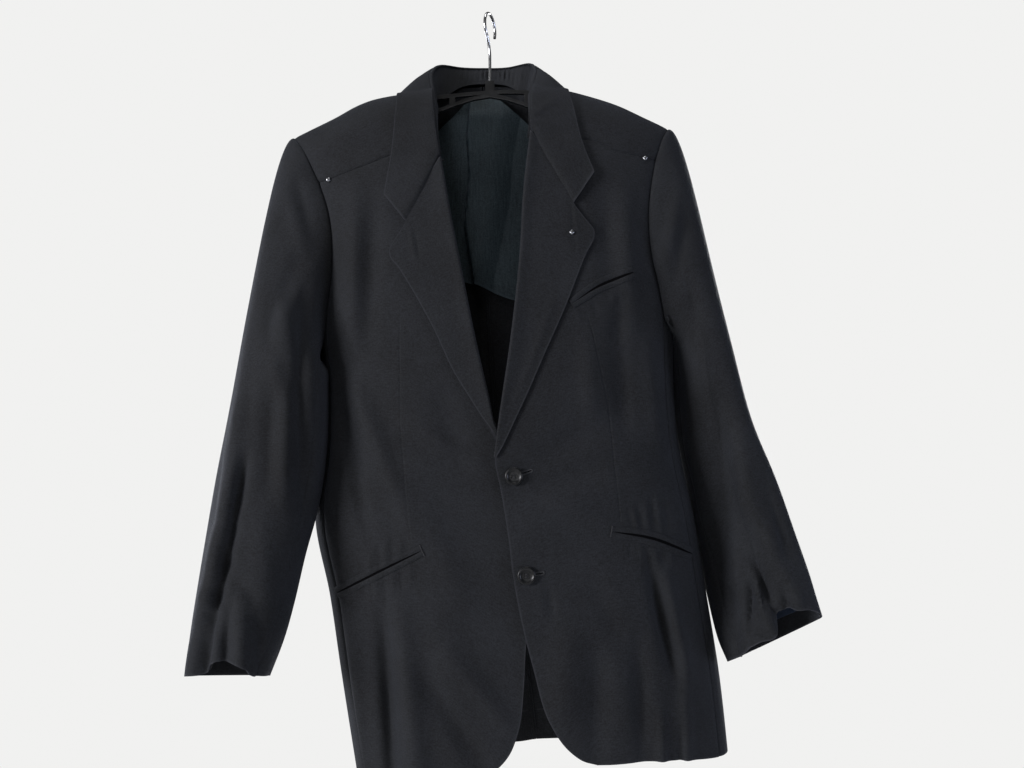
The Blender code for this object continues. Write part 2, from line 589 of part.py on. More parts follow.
def sleeve_points(side, rows, folds, angles, head_steps, tube_steps):
    """A whole sleeve: a head that leaves the armhole outwards, then the hanging tube."""
    angles = np.asarray(angles, dtype=float)
    wrapped = angles % 360.0
    start = armhole_loop(side, wrapped)
    under = (1 - np.cos(np.radians(wrapped))) / 2
    start[:, 0] += side.sign * (LAYER_GAP + 0.0034 * under)
    first = tube_points(rows, np.array([0.0]), angles)[0]
    second = tube_points(rows, np.array([0.02]), angles)[0]
    chord = np.linalg.norm(first - start, axis=1)[:, None]
    down = (second - first) / np.linalg.norm(second - first, axis=1)[:, None]
    leave = np.stack([
        np.full(len(angles), float(side.sign)),
        -0.42 * np.sin(np.radians(wrapped)),
        np.full(len(angles), -0.30),
    ], axis=-1)
    leave = leave / np.linalg.norm(leave, axis=1)[:, None] * chord / (1 + chord / HEAD_REACH)
    t = np.linspace(0, 1, head_steps + 1)[:-1, None, None] ** 1.25
    head = (2 * t**3 - 3 * t**2 + 1) * start + (t**3 - 2 * t**2 + t) * leave
    head = head + (3 * t**2 - 2 * t**3) * first + (t**3 - t**2) * down * chord
    along = np.linspace(0, 1, tube_steps + 1)
    tube = tube_points(rows, along, angles)
    middle = tube_points(rows, along, np.array([0.0, 180.0])).mean(axis=1)[:, None, :]
    outwards = tube - middle
    outwards = outwards / np.linalg.norm(outwards, axis=2)[..., None]
    heights = fold_heights(
        [SleeveFold(f.along0 * 360, f.round0, f.along1 * 360, f.round1, f.width, f.height) for f in folds],
        along[:, None] * 360, wrapped[None, :])
    tube = tube + outwards * (heights * np.clip(along / 0.1, 0, 1)[:, None])[..., None]
    return np.concatenate([head, tube])[::-1]


def make_sleeves(group):
    """Each sleeve is a top sleeve and an under sleeve with a seam in front and behind."""
    top = np.linspace(BACK_SLEEVE_SEAM - 360 + SEAM_ANGLE, FRONT_SLEEVE_SEAM - SEAM_ANGLE, 16)
    under = np.linspace(FRONT_SLEEVE_SEAM + SEAM_ANGLE, BACK_SLEEVE_SEAM - SEAM_ANGLE, 7)
    for side, rows, folds in (
        (RIGHT, SLEEVE_MINUS, SLEEVE_FOLDS_MINUS),
        (LEFT, SLEEVE_PLUS, SLEEVE_FOLDS_PLUS),
    ):
        for part, angles in (("topsleeve", top), ("undersleeve", under)):
            points = sleeve_points(side, rows, folds, angles, 7, 12)
            cloth(f"{part}_{side.word}", points[:, ::-side.sign], CLOTH_WALL, 1, group)


def roll_lift(away, height):
    """Height of a folded-back layer over the panel: a soft roll, then flat."""
    rise = np.sin(np.clip(away / 0.005, 0, 1) * math.pi / 2)
    return LAYER_GAP + height * rise * np.exp(-np.maximum(away - 0.005, 0) / ROLL_WIDTH)


def make_lapels(group):
    """The lapels lie on the fronts, from a soft roll to their outer edge."""
    across, v = steps(6, 0, crowd_start) ** 1.35, steps(15)
    for name, edge, roll, top, surface in (
        ("lapel_right", LAPEL_EDGE_MINUS, LAPEL_ROLL_MINUS, LAPEL_TOP_MINUS, front_y),
        ("lapel_left", LAPEL_EDGE_PLUS, LAPEL_ROLL_PLUS, LAPEL_TOP_PLUS, front_left_y),
    ):
        bottom = [roll[0], edge[0]]
        plan = patch(bottom, top, roll, edge, across, v)
        away = np.linalg.norm(plan - plan[:, :1], axis=2)
        lift = roll_lift(away, ROLL_HEIGHT) + 0.0004
        if name == "lapel_right":
            plan, lift = plan[:, ::-1], lift[:, ::-1]
        points = moved_out(on_surface(plan, surface), lift)
        cloth(name, points, CLOTH_WALL, 1, group)


def collar_rows(count):
    """The collar's table read closely: straight to each tip, smooth between them."""
    table = np.array(COLLAR)
    inner = curve(table[1:-1], np.linspace(0, 1, count))
    return np.vstack([table[:1], inner, table[-1:]])


def make_collar(group):
    """The collar leaf falls from its fold on to the coat; the stand is inside it."""
    rows = collar_rows(27)
    fold, edge, base = rows[:, 0:3], rows[:, 3:6], rows[:, 6:9]
    u = crowd_start(steps(5))[None, :, None]
    leaf = fold[:, None, :] * (1 - u) + edge[:, None, :] * u
    facing = edge - fold
    facing[:, 2] = 0
    facing = facing / np.linalg.norm(facing, axis=1)[:, None]
    belly = LEAF_LIFT * np.sin(np.pi * u**0.6)
    leaf = leaf + facing[:, None, :] * belly + np.array([0, 0, 0.5]) * belly
    x, z = leaf[..., 0], leaf[..., 2]
    rest = LAYER_GAP + 0.0030 + 0.003 * (1 - u[..., 0])
    in_front = leaf[..., 1] < -0.002
    on_front = np.where(in_front & (z < ridge(x)), front_y(x, z) - rest, 1.0)
    leaf[..., 1] = np.minimum(leaf[..., 1], np.where(on_front < 1.0, on_front, leaf[..., 1]))
    on_back = np.where(~in_front & (leaf[..., 1] > 0.002), back_y(x, z) + rest, -1.0)
    leaf[..., 1] = np.maximum(leaf[..., 1], on_back)
    cloth("collar", leaf[::-1], CLOTH_WALL, 1, group)

    u = steps(3)[None, :, None]
    inward = -facing[:, None, :] * 0.0023
    stand = fold[:, None, :] * (1 - u) + base[:, None, :] * u + inward
    stand[..., 2] -= 0.0006
    cloth("collar_stand", stand[1:-1], LINING_WALL, -1, group)


def make_lining(group):
    """The half lining inside the back, with a pleat down its middle."""
    left = [(-0.165, -0.300), (-0.158, -0.230), (-0.140, -0.165)]
    right = [(0.165, -0.345), (0.158, -0.250), (0.140, -0.170)]
    bottom = [left[0], (-0.06, -0.315), (-0.021, -0.325), (0.028, -0.344), (0.10, -0.350), right[0]]
    top = [
        left[-1], (-0.100, -0.160), (-0.052, -0.118), (-0.010, -0.0830), (0.032, -0.110), (0.085, -0.155),
        right[-1],
    ]
    plan = patch(bottom, top, left, right, steps(14), steps(11))
    points = on_surface(plan, back_y)
    x, z = plan[..., 0], plan[..., 1]
    from_pleat = (x + 0.006 - (z + 0.2) * 0.05) / 0.017
    pleat = 0.006 * np.clip((-0.09 - z) / 0.05, 0, 1) * np.exp(-(from_pleat ** 4))
    clear = CLOTH_WALL + 3 * LAYER_GAP + 0.0020 * np.clip((z + 0.20) / 0.06, 0, 1)
    points = moved_out(points, clear + pleat)
    cloth("back_lining", points, LINING_WALL, 1, group, "satin_lining")


def strip(name, line, surface, shift, group):
    """A jet: a narrow strip on a panel beside a pocket's mouth."""
    middle = curve(line, steps(10))
    along = np.gradient(middle, axis=0)
    normal = np.stack([-along[:, 1], along[:, 0]], axis=-1)
    normal = normal / np.linalg.norm(normal, axis=1)[:, None]
    low = shift - JET_WIDTH / 2
    plan = np.stack([middle + normal * low, middle + normal * (low + JET_WIDTH)])
    points = moved_out(on_surface(plan, surface), 2 * LAYER_GAP)
    cloth(name, points, JET_WALL, 1, group)


def make_pockets(group):
    """Each pocket mouth has a jet above it and a jet below it."""
    half_step = JET_WIDTH / 2 + 0.0003
    for name, line, surface in (
        ("pocket_right", POCKET_MINUS, front_y),
        ("pocket_left", POCKET_PLUS, front_left_y),
        ("pocket_breast", POCKET_BREAST, front_left_y),
    ):
        strip(f"{name}_upper", line, surface, half_step, group)
        strip(f"{name}_lower", line, surface, -half_step, group)


def turned_mesh(name, profile, sides):
    """A turned shape: a profile in radius and height, given a full turn by Screw."""
    mesh = bpy.data.meshes.new(name)
    edges = [(i, i + 1) for i in range(len(profile) - 1)]
    mesh.from_pydata([(radius, 0.0, height) for radius, height in profile], edges, [])
    piece = bpy.data.objects.new(name, mesh)
    bpy.context.scene.collection.objects.link(piece)
    screw = piece.modifiers.new("turn", "SCREW")
    screw.steps = sides
    screw.render_steps = sides
    screw.use_merge_vertices = True
    screw.merge_threshold = 0.00002
    turned = bpy.data.meshes.new_from_object(piece.evaluated_get(bpy.context.evaluated_depsgraph_get()))
    bpy.data.objects.remove(piece)
    return turned


def aim_forwards(piece, where):
    """Stand a turned piece on the cloth, its top facing the front."""
    piece.location = where
    piece.rotation_euler = (math.radians(90), 0, 0)


def make_buttons(group, cutters):
    """Two four-hole buttons with a raised rim, on the buttoned edge."""
    r, h = BUTTON_RADIUS, BUTTON_THICKNESS
    profile = [
        (0, 0.62 * h), (0.60 * r, 0.62 * h), (0.76 * r, h), (0.93 * r, 0.96 * h), (r, 0.60 * h),
        (0.96 * r, 0.25 * h), (0.72 * r, 0), (0, 0),
    ]
    mesh = turned_mesh("button", profile, 20)
    for name, (x, z) in BUTTONS.items():
        piece = place(name, mesh.copy(), "button_horn", group)
        lift = front_left_y(np.array([x - r, x, x + r]), np.array([z, z, z])).min()
        aim_forwards(piece, (x, float(lift) - LAYER_GAP, z))
        for i in range(4):
            turn = math.radians(45 + 90 * i)
            reach = BUTTON_HOLE_SPACING
            hole = bmesh.new()
            bmesh.ops.create_cone(
                hole, cap_ends=True, segments=8, radius1=BUTTON_HOLE_RADIUS,
                radius2=BUTTON_HOLE_RADIUS, depth=4 * h)
            cut = bpy.data.meshes.new(f"{name}_hole_{i}")
            hole.to_mesh(cut)
            hole.free()
            cutter = bpy.data.objects.new(cut.name, cut)
            cutter.parent = piece
            cutter.location = (reach * math.cos(turn), reach * math.sin(turn), h / 2)
            cutter.hide_render = True
            cutter.display_type = "WIRE"
            cutters.objects.link(cutter)
            cut_out = piece.modifiers.new(f"hole_{i}", "BOOLEAN")
            cut_out.object = cutter
            cut_out.solver = "EXACT"


def make_studs(group):
    """Small domed studs at the points of the yoke and on the left lapel."""
    profile = [(0, STUD_HEIGHT)]
    for i in range(1, 5):
        turn = math.radians(22.5 * i)
        profile.append((STUD_RADIUS * math.sin(turn), STUD_HEIGHT * math.cos(turn) * 0.999))
    profile.append((0, 0))
    mesh = turned_mesh("stud", profile, 14)
    for name, (x, z) in YOKE_STUDS.items():
        piece = place(name, mesh.copy(), "stud_metal", group)
        nearest = front_y(np.array([x - STUD_RADIUS, x, x + STUD_RADIUS]), np.full(3, z)).min()
        aim_forwards(piece, (x, float(nearest) - LAYER_GAP, z))
    x, z = LAPEL_STUD
    piece = place("stud_lapel", mesh.copy(), "stud_metal", group)
    nearest = front_left_y(np.array([x - STUD_RADIUS, x, x + STUD_RADIUS]), np.full(3, z)).min()
    aim_forwards(piece, (x, float(nearest) - 2 * LAYER_GAP - CLOTH_WALL - 0.0003, z))


def hanger_top(x):
    """Upper edge of the hanger: a level bar, then just inside the coat's shoulders."""
    return np.minimum(BAR_TOP, ridge(x) - HANGER_CLEARANCE)


def hanger_bottom(x):
    """Lower edge of the hanger: an arch that closes on the upper edge at its ends."""
    return -0.1035 - 0.060 * (1 - np.exp(-((np.abs(x) / 0.115) ** 1.6)))


def make_hanger(group):
    """A flat truss of plastic with a hub for the hook."""
    reach = HANGER_REACH
    upper = [(x, float(hanger_top(x))) for x in np.linspace(-reach, -HUB_WIDTH / 2, 21)]
    hub = [(-HUB_WIDTH / 2, HUB_TOP), (HUB_WIDTH / 2, HUB_TOP)]
    upper_right = [(x, float(hanger_top(x))) for x in np.linspace(HUB_WIDTH / 2, reach, 21)]
    lower = [(x, float(hanger_bottom(x))) for x in np.linspace(reach - 0.004, 0.004 - reach, 21)]
    outline = upper + hub + upper_right + lower
    data = bpy.data.curves.new("hanger", "CURVE")
    data.dimensions = "2D"
    data.fill_mode = "BOTH"
    data.extrude = HANGER_THICKNESS / 2
    add_outline(data, outline)
    for start, end in HANGER_WINDOWS:
        top = [(x, float(hanger_top(x)) - HANGER_BAR) for x in np.linspace(start, end, 5)]
        bottom = [(x, float(hanger_bottom(x)) + HANGER_BAR) for x in np.linspace(end, start, 5)]
        kept = [p for p in bottom if p[1] < float(hanger_top(p[0])) - HANGER_BAR - 0.0015]
        if len(kept) > 1:
            add_outline(data, top + kept)
    piece = bpy.data.objects.new("hanger_outline", data)
    bpy.context.scene.collection.objects.link(piece)
    mesh = bpy.data.meshes.new_from_object(piece.evaluated_get(bpy.context.evaluated_depsgraph_get()))
    bpy.data.objects.remove(piece)
    joined = bmesh.new()
    joined.from_mesh(mesh)
    bmesh.ops.remove_doubles(joined, verts=joined.verts, dist=0.00001)
    joined.to_mesh(mesh)
    joined.free()
    hanger = place("hanger", mesh, "hanger_plastic", group)
    hanger.rotation_euler = (math.radians(90), 0, 0)


def add_outline(data, outline):
    """Add a closed outline to a flat curve."""
    spline = data.splines.new("POLY")
    spline.points.add(len(outline) - 1)
    for point, (x, z) in zip(spline.points, outline):
        point.co = (x, z, 0, 1)
    spline.use_cyclic_u = True


def make_hook(group):
    """The wire hook: a stem out of the hub, then round over the rail."""
    centre = WIRE_RADIUS - HOOK_RADIUS
    arc = []
    for i in range(15):
        turn = math.radians(-22 + (236 + 22) * i / 14)
        arc.append((HOOK_RADIUS * math.cos(turn), centre + HOOK_RADIUS * math.sin(turn)))
    route = arc + [(-0.0035, -0.0390), (-0.0006, -0.0480), (0.0, -0.0580), (0.0, HUB_TOP + 0.0005)]
    path = curve([(s, z) for s, z in route], np.linspace(0, 1, 34))
    turn = math.radians(HOOK_TURN)
    data = bpy.data.curves.new("hook", "CURVE")
    data.dimensions = "3D"
    data.bevel_depth = WIRE_RADIUS
    data.bevel_resolution = 2
    data.use_fill_caps = True
    spline = data.splines.new("POLY")
    spline.points.add(len(path) - 1)
    for point, (s, z) in zip(spline.points, path):
        point.co = (s * math.cos(turn), s * math.sin(turn), z, 1)
    piece = bpy.data.objects.new("hook", data)
    piece.data.materials.append(finish_of("hook_steel"))
    group.objects.link(piece)


def clear_scene():
    """Start from an empty scene."""
    for item in list(bpy.data.objects):
        bpy.data.objects.remove(item, do_unlink=True)


def new_group(name):
    """A collection in the scene."""
    group = bpy.data.collections.new(name)
    bpy.context.scene.collection.children.link(group)
    return group


def main():
    clear_scene()
    group = new_group("sport_coat")
    cutters = new_group("cutters")
    make_fronts(group)
    make_yokes(group)
    make_sides(group)
    make_backs(group)
    make_sleeves(group)
    make_lapels(group)
    make_collar(group)
    make_lining(group)
    make_pockets(group)
    make_buttons(group, cutters)
    make_studs(group)
    make_hanger(group)
    make_hook(group)


main()
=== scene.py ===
# %% [markdown]
# # A sport coat on a hanger
#
# This lesson dresses a plain solid model of a men's sport coat. The coat hangs, buttoned, on a thin
# plastic hanger with a wire hook. The solids already have the right sizes, so we load them first and
# keep them as the frame that every cloth piece, button and stitch is fitted to. All lengths are in
# metres, +Z is up, and the coat's front faces -Y.

# %% Load the frame
import json
import math
from collections import namedtuple

import bpy
import numpy as np
from mathutils import Matrix, Vector

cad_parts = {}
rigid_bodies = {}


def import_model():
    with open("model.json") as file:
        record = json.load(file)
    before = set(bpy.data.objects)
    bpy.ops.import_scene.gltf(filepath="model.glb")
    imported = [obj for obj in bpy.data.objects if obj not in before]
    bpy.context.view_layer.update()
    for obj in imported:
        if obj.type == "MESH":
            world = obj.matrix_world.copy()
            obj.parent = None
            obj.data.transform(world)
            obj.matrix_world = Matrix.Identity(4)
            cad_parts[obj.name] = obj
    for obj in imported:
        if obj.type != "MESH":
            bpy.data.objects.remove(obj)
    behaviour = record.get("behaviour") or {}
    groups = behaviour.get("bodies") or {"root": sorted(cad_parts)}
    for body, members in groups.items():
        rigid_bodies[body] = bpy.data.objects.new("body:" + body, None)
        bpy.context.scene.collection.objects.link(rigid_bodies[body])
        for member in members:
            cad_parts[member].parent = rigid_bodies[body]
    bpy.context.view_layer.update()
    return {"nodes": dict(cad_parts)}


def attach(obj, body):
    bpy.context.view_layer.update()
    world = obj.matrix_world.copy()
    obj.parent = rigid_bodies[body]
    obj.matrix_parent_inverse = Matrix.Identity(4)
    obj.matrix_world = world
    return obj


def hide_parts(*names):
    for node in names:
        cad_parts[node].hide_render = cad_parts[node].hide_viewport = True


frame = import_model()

scene = bpy.context.scene

# %% [markdown]
# ## Camera, light and floor
#
# Daylight from a window crosses the coat from the left, and its folds turn from light to dark. We
# copy that with one strong soft light far to the left and weak ones from the room, from the door on
# the right and from above. Two more stand behind, for the views of the back. The world looks pale to
# the camera but lights the cloth only a little, so that dark cloth stays dark. The camera stands a
# little below the coat's middle and looks up by five degrees. The floor is a plain pale disc, far
# enough down to leave the hem free.

# %% Camera
CAMERA_PLACE = (0.02695, -1.12, -0.5512)
CAMERA_TILT = 95.03
FOCAL_LENGTH = 33.4

bpy.ops.object.select_all(action="DESELECT")
bpy.ops.object.camera_add(location=CAMERA_PLACE, rotation=(math.radians(CAMERA_TILT), 0, 0))
camera = bpy.context.active_object
camera.name = "camera"
camera.data.lens = FOCAL_LENGTH
camera.data.sensor_width = 36.0
scene.camera = camera
print("camera:", tuple(round(v, 3) for v in camera.location), "lens:", round(camera.data.lens, 1))


# %% Colours and shader nodes
def linear(channel):
    """One sRGB channel from 0 to 255 as linear light."""
    value = channel / 255
    return value / 12.92 if value <= 0.04045 else ((value + 0.055) / 1.055) ** 2.4


def colour(hex_code):
    """A colour written as #rrggbb, as linear red, green, blue and alpha."""
    digits = hex_code.lstrip("#")
    return tuple(linear(int(digits[i:i + 2], 16)) for i in (0, 2, 4)) + (1.0,)


def add_node(material, kind, values=None, **settings):
    """Add a shader node, set its properties and the constant values of its inputs."""
    node = material.node_tree.nodes.new(kind)
    for key, value in settings.items():
        setattr(node, key, value)
    for key, value in (values or {}).items():
        node.inputs[key].default_value = value
    return node


def link(material, start, output, end, socket):
    """Join one node's output to another's input."""
    material.node_tree.links.new(start.outputs[output], end.inputs[socket])


def arithmetic(material, operation, *terms):
    """A math node whose terms are numbers, or other nodes with the name of an output."""
    node = add_node(material, "ShaderNodeMath", operation=operation)
    for i, term in enumerate(terms):
        if isinstance(term, tuple):
            link(material, *term, node, i)
        else:
            node.inputs[i].default_value = term
    return node


def new_material(name):
    """A new material and its Principled shader."""
    material = bpy.data.materials.new(name)
    material.use_nodes = True
    return material, material.node_tree.nodes["Principled BSDF"]


print("dark charcoal in linear light:", [round(v, 4) for v in colour("#2b2d33")])

# %% Lights, world and floor
WORLD_TONE = "#f3f3f2"
WORLD_ON_CLOTH = 0.13
WORLD_SEEN = 0.98
FLOOR_DROP = 1.75
FLOOR_RADIUS = 1.8


def soft_light(name, place, aim, size, power, tint="#ffffff"):
    """A square soft light that faces a point."""
    bpy.ops.object.light_add(type="AREA", location=place)
    light = bpy.context.active_object
    light.name = name
    light.data.shape = "SQUARE"
    light.data.size = size
    light.data.energy = power
    light.data.color = colour(tint)[:3]
    way = np.array(aim) - np.array(place)
    tilt = math.acos(-way[2] / np.linalg.norm(way))
    light.rotation_euler = (tilt, 0, math.atan2(way[1], way[0]) - math.pi / 2)


soft_light("window_light", (-4.2, -2.45, 0.10), (0.0, 0.0, -0.50), 1.5, 305, "#fafaff")
soft_light("room_light", (-0.60, -3.1, -0.50), (0.0, 0.0, -0.45), 0.7, 15, "#fafaff")
soft_light("door_light", (2.4, -0.80, -0.50), (0.0, 0.0, -0.60), 0.8, 24, "#dbe4ff")
soft_light("ceiling_light", (0.0, -0.4, 1.8), (0.0, 0.0, -0.3), 0.8, 14)
soft_light("garden_light", (1.9, 3.3, 0.30), (0.0, 0.0, -0.50), 1.6, 135, "#fafaff")
soft_light("hall_light", (-2.7, 2.3, -0.30), (0.0, 0.0, -0.50), 1.2, 45, "#eef2ff")

world = bpy.data.worlds.new("pale_room")
scene.world = world
world.use_nodes = True
sky = world.node_tree.nodes["Background"]
sky.inputs["Color"].default_value = colour(WORLD_TONE)
rays = world.node_tree.nodes.new("ShaderNodeLightPath")
strength = world.node_tree.nodes.new("ShaderNodeMapRange")
strength.inputs["To Min"].default_value = WORLD_ON_CLOTH
strength.inputs["To Max"].default_value = WORLD_SEEN
world.node_tree.links.new(rays.outputs["Is Camera Ray"], strength.inputs["Value"])
world.node_tree.links.new(strength.outputs["Result"], sky.inputs["Strength"])
scene.view_settings.view_transform = "Standard"

bpy.ops.object.select_all(action="DESELECT")
bpy.ops.mesh.primitive_circle_add(
    vertices=64, radius=FLOOR_RADIUS, fill_type="NGON", location=(0, 0, -FLOOR_DROP))
floor = bpy.context.active_object
floor.name = "floor"
bpy.ops.object.transform_apply(location=True, rotation=True, scale=True)
# Matt painted floor, pale and even
floor_paint, floor_shader = new_material("floor_paint")
floor_shader.inputs["Base Color"].default_value = colour("#e9e9e7")
floor_shader.inputs["Roughness"].default_value = 0.9
floor.data.materials.append(floor_paint)
print("floor at", -FLOOR_DROP, "m under the hook")

# %% [markdown]
# ## Cloth materials
#
# Suiting is a tightly woven cloth: from a metre away the threads merge, and what is left is a fine
# grain, faint streaks along the weft and a soft sheen where the cloth turns away. We build it from
# two wave textures for warp and weft, in the piece's own UV map, which is laid out in metres over
# the cloth. So the grain has its true size and follows each panel. A point attribute named edge
# marks pressed edges, where a lighter tone is mixed in as a painted highlight.


# %% Pattern sizes
def waves_per_metre(period_mm):
    """Scale of a wave texture whose bands repeat after a length in millimetres."""
    return 2 * math.pi / 20 / (period_mm / 1000)


def noise_per_metre(size_mm):
    """Scale of a noise texture whose spots are about a length in millimetres."""
    return 1000 / size_mm


print("bands of 0.8 mm have the scale", round(waves_per_metre(0.8)))


# %% Suiting
def woven(name, dark, light, highlight_tone, sheen, roughness, grain_mm=0.85, slub=(14, 75), bump=0.00030,
          gloss=0.22):
    """A woven cloth: warp and weft, slubs, cloudy tone and a painted highlight along pressed edges."""
    material, shader = new_material(name)
    uv = add_node(material, "ShaderNodeUVMap", uv_map="UVMap")
    warp, weft = (
        add_node(material, "ShaderNodeTexWave",
                 {"Scale": waves_per_metre(size_mm), "Distortion": 1.5}, bands_direction=way)
        for size_mm, way in ((grain_mm, "X"), (grain_mm * 1.15, "Y")))
    stretch = add_node(material, "ShaderNodeMapping", {"Scale": (slub[0], slub[1], 1)})
    streaks = add_node(material, "ShaderNodeTexNoise", {"Scale": 9.0, "Detail": 4.0, "Roughness": 0.65})
    place = add_node(material, "ShaderNodeTexCoord")
    clouds = add_node(material, "ShaderNodeTexNoise", {"Scale": noise_per_metre(70), "Detail": 3.0})
    fuzz = add_node(material, "ShaderNodeTexNoise", {"Scale": noise_per_metre(1.6), "Detail": 2.0})
    for node in (warp, weft, stretch):
        link(material, uv, "UV", node, "Vector")
    link(material, stretch, "Vector", streaks, "Vector")
    link(material, place, "Object", clouds, "Vector")
    link(material, place, "Object", fuzz, "Vector")

    grain = arithmetic(material, "MULTIPLY", (fuzz, "Fac"), 0.40)
    weave = arithmetic(material, "MULTIPLY_ADD", (streaks, "Fac"), 0.36, (grain, "Value"))
    tone = arithmetic(material, "MULTIPLY_ADD", (clouds, "Fac"), 0.24, (weave, "Value"))
    spread = add_node(material, "ShaderNodeMapRange", {"From Min": 0.39, "From Max": 0.61})
    link(material, tone, "Value", spread, "Value")
    cloth = add_node(material, "ShaderNodeMix", data_type="RGBA")
    cloth.inputs["A"].default_value = colour(dark)
    cloth.inputs["B"].default_value = colour(light)
    link(material, spread, "Result", cloth, "Factor")

    # Painted highlight: the edge attribute mixes a lighter tone into the cloth along pressed edges
    edge = add_node(material, "ShaderNodeAttribute", attribute_name="edge")
    highlight_share = arithmetic(material, "MULTIPLY", (edge, "Fac"), 0.6)
    painted_edge_highlight = add_node(material, "ShaderNodeMix", data_type="RGBA")
    painted_edge_highlight.inputs["B"].default_value = colour(highlight_tone)
    link(material, highlight_share, "Value", painted_edge_highlight, "Factor")
    link(material, cloth, "Result", painted_edge_highlight, "A")
    link(material, painted_edge_highlight, "Result", shader, "Base Color")

    threads = arithmetic(material, "MULTIPLY", (warp, "Fac"), (weft, "Fac"))
    nap = arithmetic(material, "ADD", (threads, "Value"), (fuzz, "Fac"))
    relief = add_node(material, "ShaderNodeBump", {"Strength": 0.75, "Distance": bump})
    link(material, nap, "Value", relief, "Height")
    link(material, relief, "Normal", shader, "Normal")
    shader.inputs["Roughness"].default_value = roughness
    shader.inputs["Specular IOR Level"].default_value = gloss
    shader.inputs["Sheen Weight"].default_value = sheen
    shader.inputs["Sheen Roughness"].default_value = 0.38
    shader.inputs["Sheen Tint"].default_value = colour("#aeb8d2")
    return material


# Dark charcoal wool blend suiting with a blue cast
suiting = woven("wool_suiting", "#0a0b0d", "#1e2024", "#313237", 0.06, 0.78)
# Deep green-grey satin of the half lining
satin = woven("satin_lining", "#252f34", "#3e4a50", "#46525a", 0.08, 0.60,
              grain_mm=0.45, slub=(60, 4), bump=0.00008)
# Blue-grey sleeve lining, seen inside the cuffs
cuff_satin = woven("sleeve_lining", "#1d2430", "#2b3546", "#303a4a", 0.10, 0.40,
                   grain_mm=0.45, slub=(60, 4), bump=0.00008)
# Near-black pocketing for the pocket mouths and buttonhole slits: painted shade, standing in for the shadow
# inside each opening
painted_shade_black = woven("painted_shade_black", "#030304", "#060607", "#060607", 0.0, 0.9, grain_mm=0.7, gloss=0.05)
print("cloth materials:", suiting.name, satin.name, cuff_satin.name, painted_shade_black.name)

# %% [markdown]
# ## The coat's form
#
# A tailor cuts flat panels, and the seams and darts bend them into a hollow form. We work the other
# way round: one smooth form is described by a few rows of sizes, and each panel is a part of it. A
# row of BODY gives the left and right silhouette and the depth in front and behind at one height.
# RIDGE is the shoulder line. The edges of the panels are short lists of places in x and z. These
# tables are in millimetres, and small helpers turn them into metres.

# %% Sizes of the form
SIDE_SQUARENESS = 2.8
SHOULDER_DROP_FRONT = 0.052
SHOULDER_DROP_BACK = 0.048
FRONT_SEAM_RATIO = 0.93
BACK_SEAM_RATIO = 0.87
OVERLAP_LIFT = 0.0040
OVERLAP_FADE = 0.110
LAYER_GAP = 0.0005
SEAM_GAP = 0.00015
SUITING_WALL = 0.0013

BodyRow = namedtuple("BodyRow", "z left right front back")
Place = namedtuple("Place", "x z")


def in_metres(kind, *rows):
    """Records of one kind from rows of millimetres."""
    return [kind(*(value / 1000 for value in row)) for row in rows]


def places(*rows):
    """Places on the coat, seen from in front, from rows of millimetres."""
    return in_metres(Place, *rows)


BODY = in_metres(
    BodyRow,
    (-60, -300, 270, 46, 40),
    (-150, -264, 242, 56, 44),
    (-190, -238, 222, 62, 45),
    (-240, -217, 213, 68, 47),
    (-300, -208, 213, 73, 48),
    (-390, -202, 216, 79, 48),
    (-445, -196, 216, 82, 48),
    (-520, -193.5, 220, 86, 47),
    (-610, -200, 237.5, 88, 48),
    (-695, -182, 250, 86, 51),
    (-780, -168, 262.5, 82, 54),
    (-900, -147, 274, 77, 57),
)
RIDGE = places(
    (-262, -171), (-236, -156.5), (-218, -148), (-181, -130), (-160, -118), (-145, -111.5),
    (-121, -105.5), (-100, -102.5), (-71, -99), (55, -92.5), (89, -97.5), (122, -106), (155, -117),
    (183, -130), (216, -145.5), (245, -162),
)
NECK_LEFT = -0.071
NECK_RIGHT = 0.055
NECK_RISE = 0.060
NECK_FADE = 0.026
print("half width of the chest:", round((BODY[4].right - BODY[4].left) / 2, 3), "m")

# %% Edges of the panels
Side = namedtuple("Side", "word sign hem front_foot underarm back_foot shoulder armhole_front armhole_back")
RIGHT = Side(
    "right", -1, hem=-0.893, front_foot=-0.402, underarm=-0.418, back_foot=-0.372, shoulder=-0.236,
    armhole_front=places(
        (-184, -371), (-180, -333), (-180, -295), (-186, -256), (-198, -221.5), (-220, -178.5),
    ),
    armhole_back=places((-182, -325), (-196, -260), (-216, -200)),
)
LEFT = Side(
    "left", 1, hem=-0.868, front_foot=-0.380, underarm=-0.398, back_foot=-0.355, shoulder=0.216,
    armhole_front=places(
        (195, -345), (187, -308), (184.6, -267.5), (188.5, -228), (195, -194.5), (205, -165.5),
    ),
    armhole_back=places((190, -310), (195, -250), (205, -190)),
)
EDGE_MINUS = places(
    (-50, -889), (-18, -885), (8, -874), (24, -857), (34, -832), (40, -785), (42, -745), (47, -705),
    (52.5, -665), (52, -620), (46, -572),
)
EDGE_PLUS = places(
    (118, -866.5), (103, -862), (90, -853), (65.6, -818.6), (50.3, -768), (37.3, -717), (28.5, -671),
    (22.5, -624), (13.9, -572), (8.4, -545),
)
ROLL_MINUS = places(
    (46, -572), (34, -549), (20, -530), (10.6, -515), (2, -477), (-13, -412), (-30, -328), (-40, -278),
    (-50, -223.5), (-58, -188),
)
ROLL_PLUS = places(
    (8.4, -545), (11.8, -508), (18, -460), (25.3, -412), (35.9, -312), (40, -240), (44, -174),
)
NECKLINE_MINUS = places((-58, -188), (-62.5, -150), (-66.5, -118), (-71, -99))
NECKLINE_PLUS = places((44, -174), (47.8, -140), (51, -112), (55, -92.5))
YOKE_SEAM_MINUS = places(
    (-198, -221.5), (-176, -217), (-158, -211), (-141, -205.5), (-110, -194), (-58, -188),
)
YOKE_SEAM_PLUS = places(
    (44, -174), (107, -175), (121.5, -176.5), (134.5, -181), (150, -188), (166, -190.5), (195, -194.5),
)
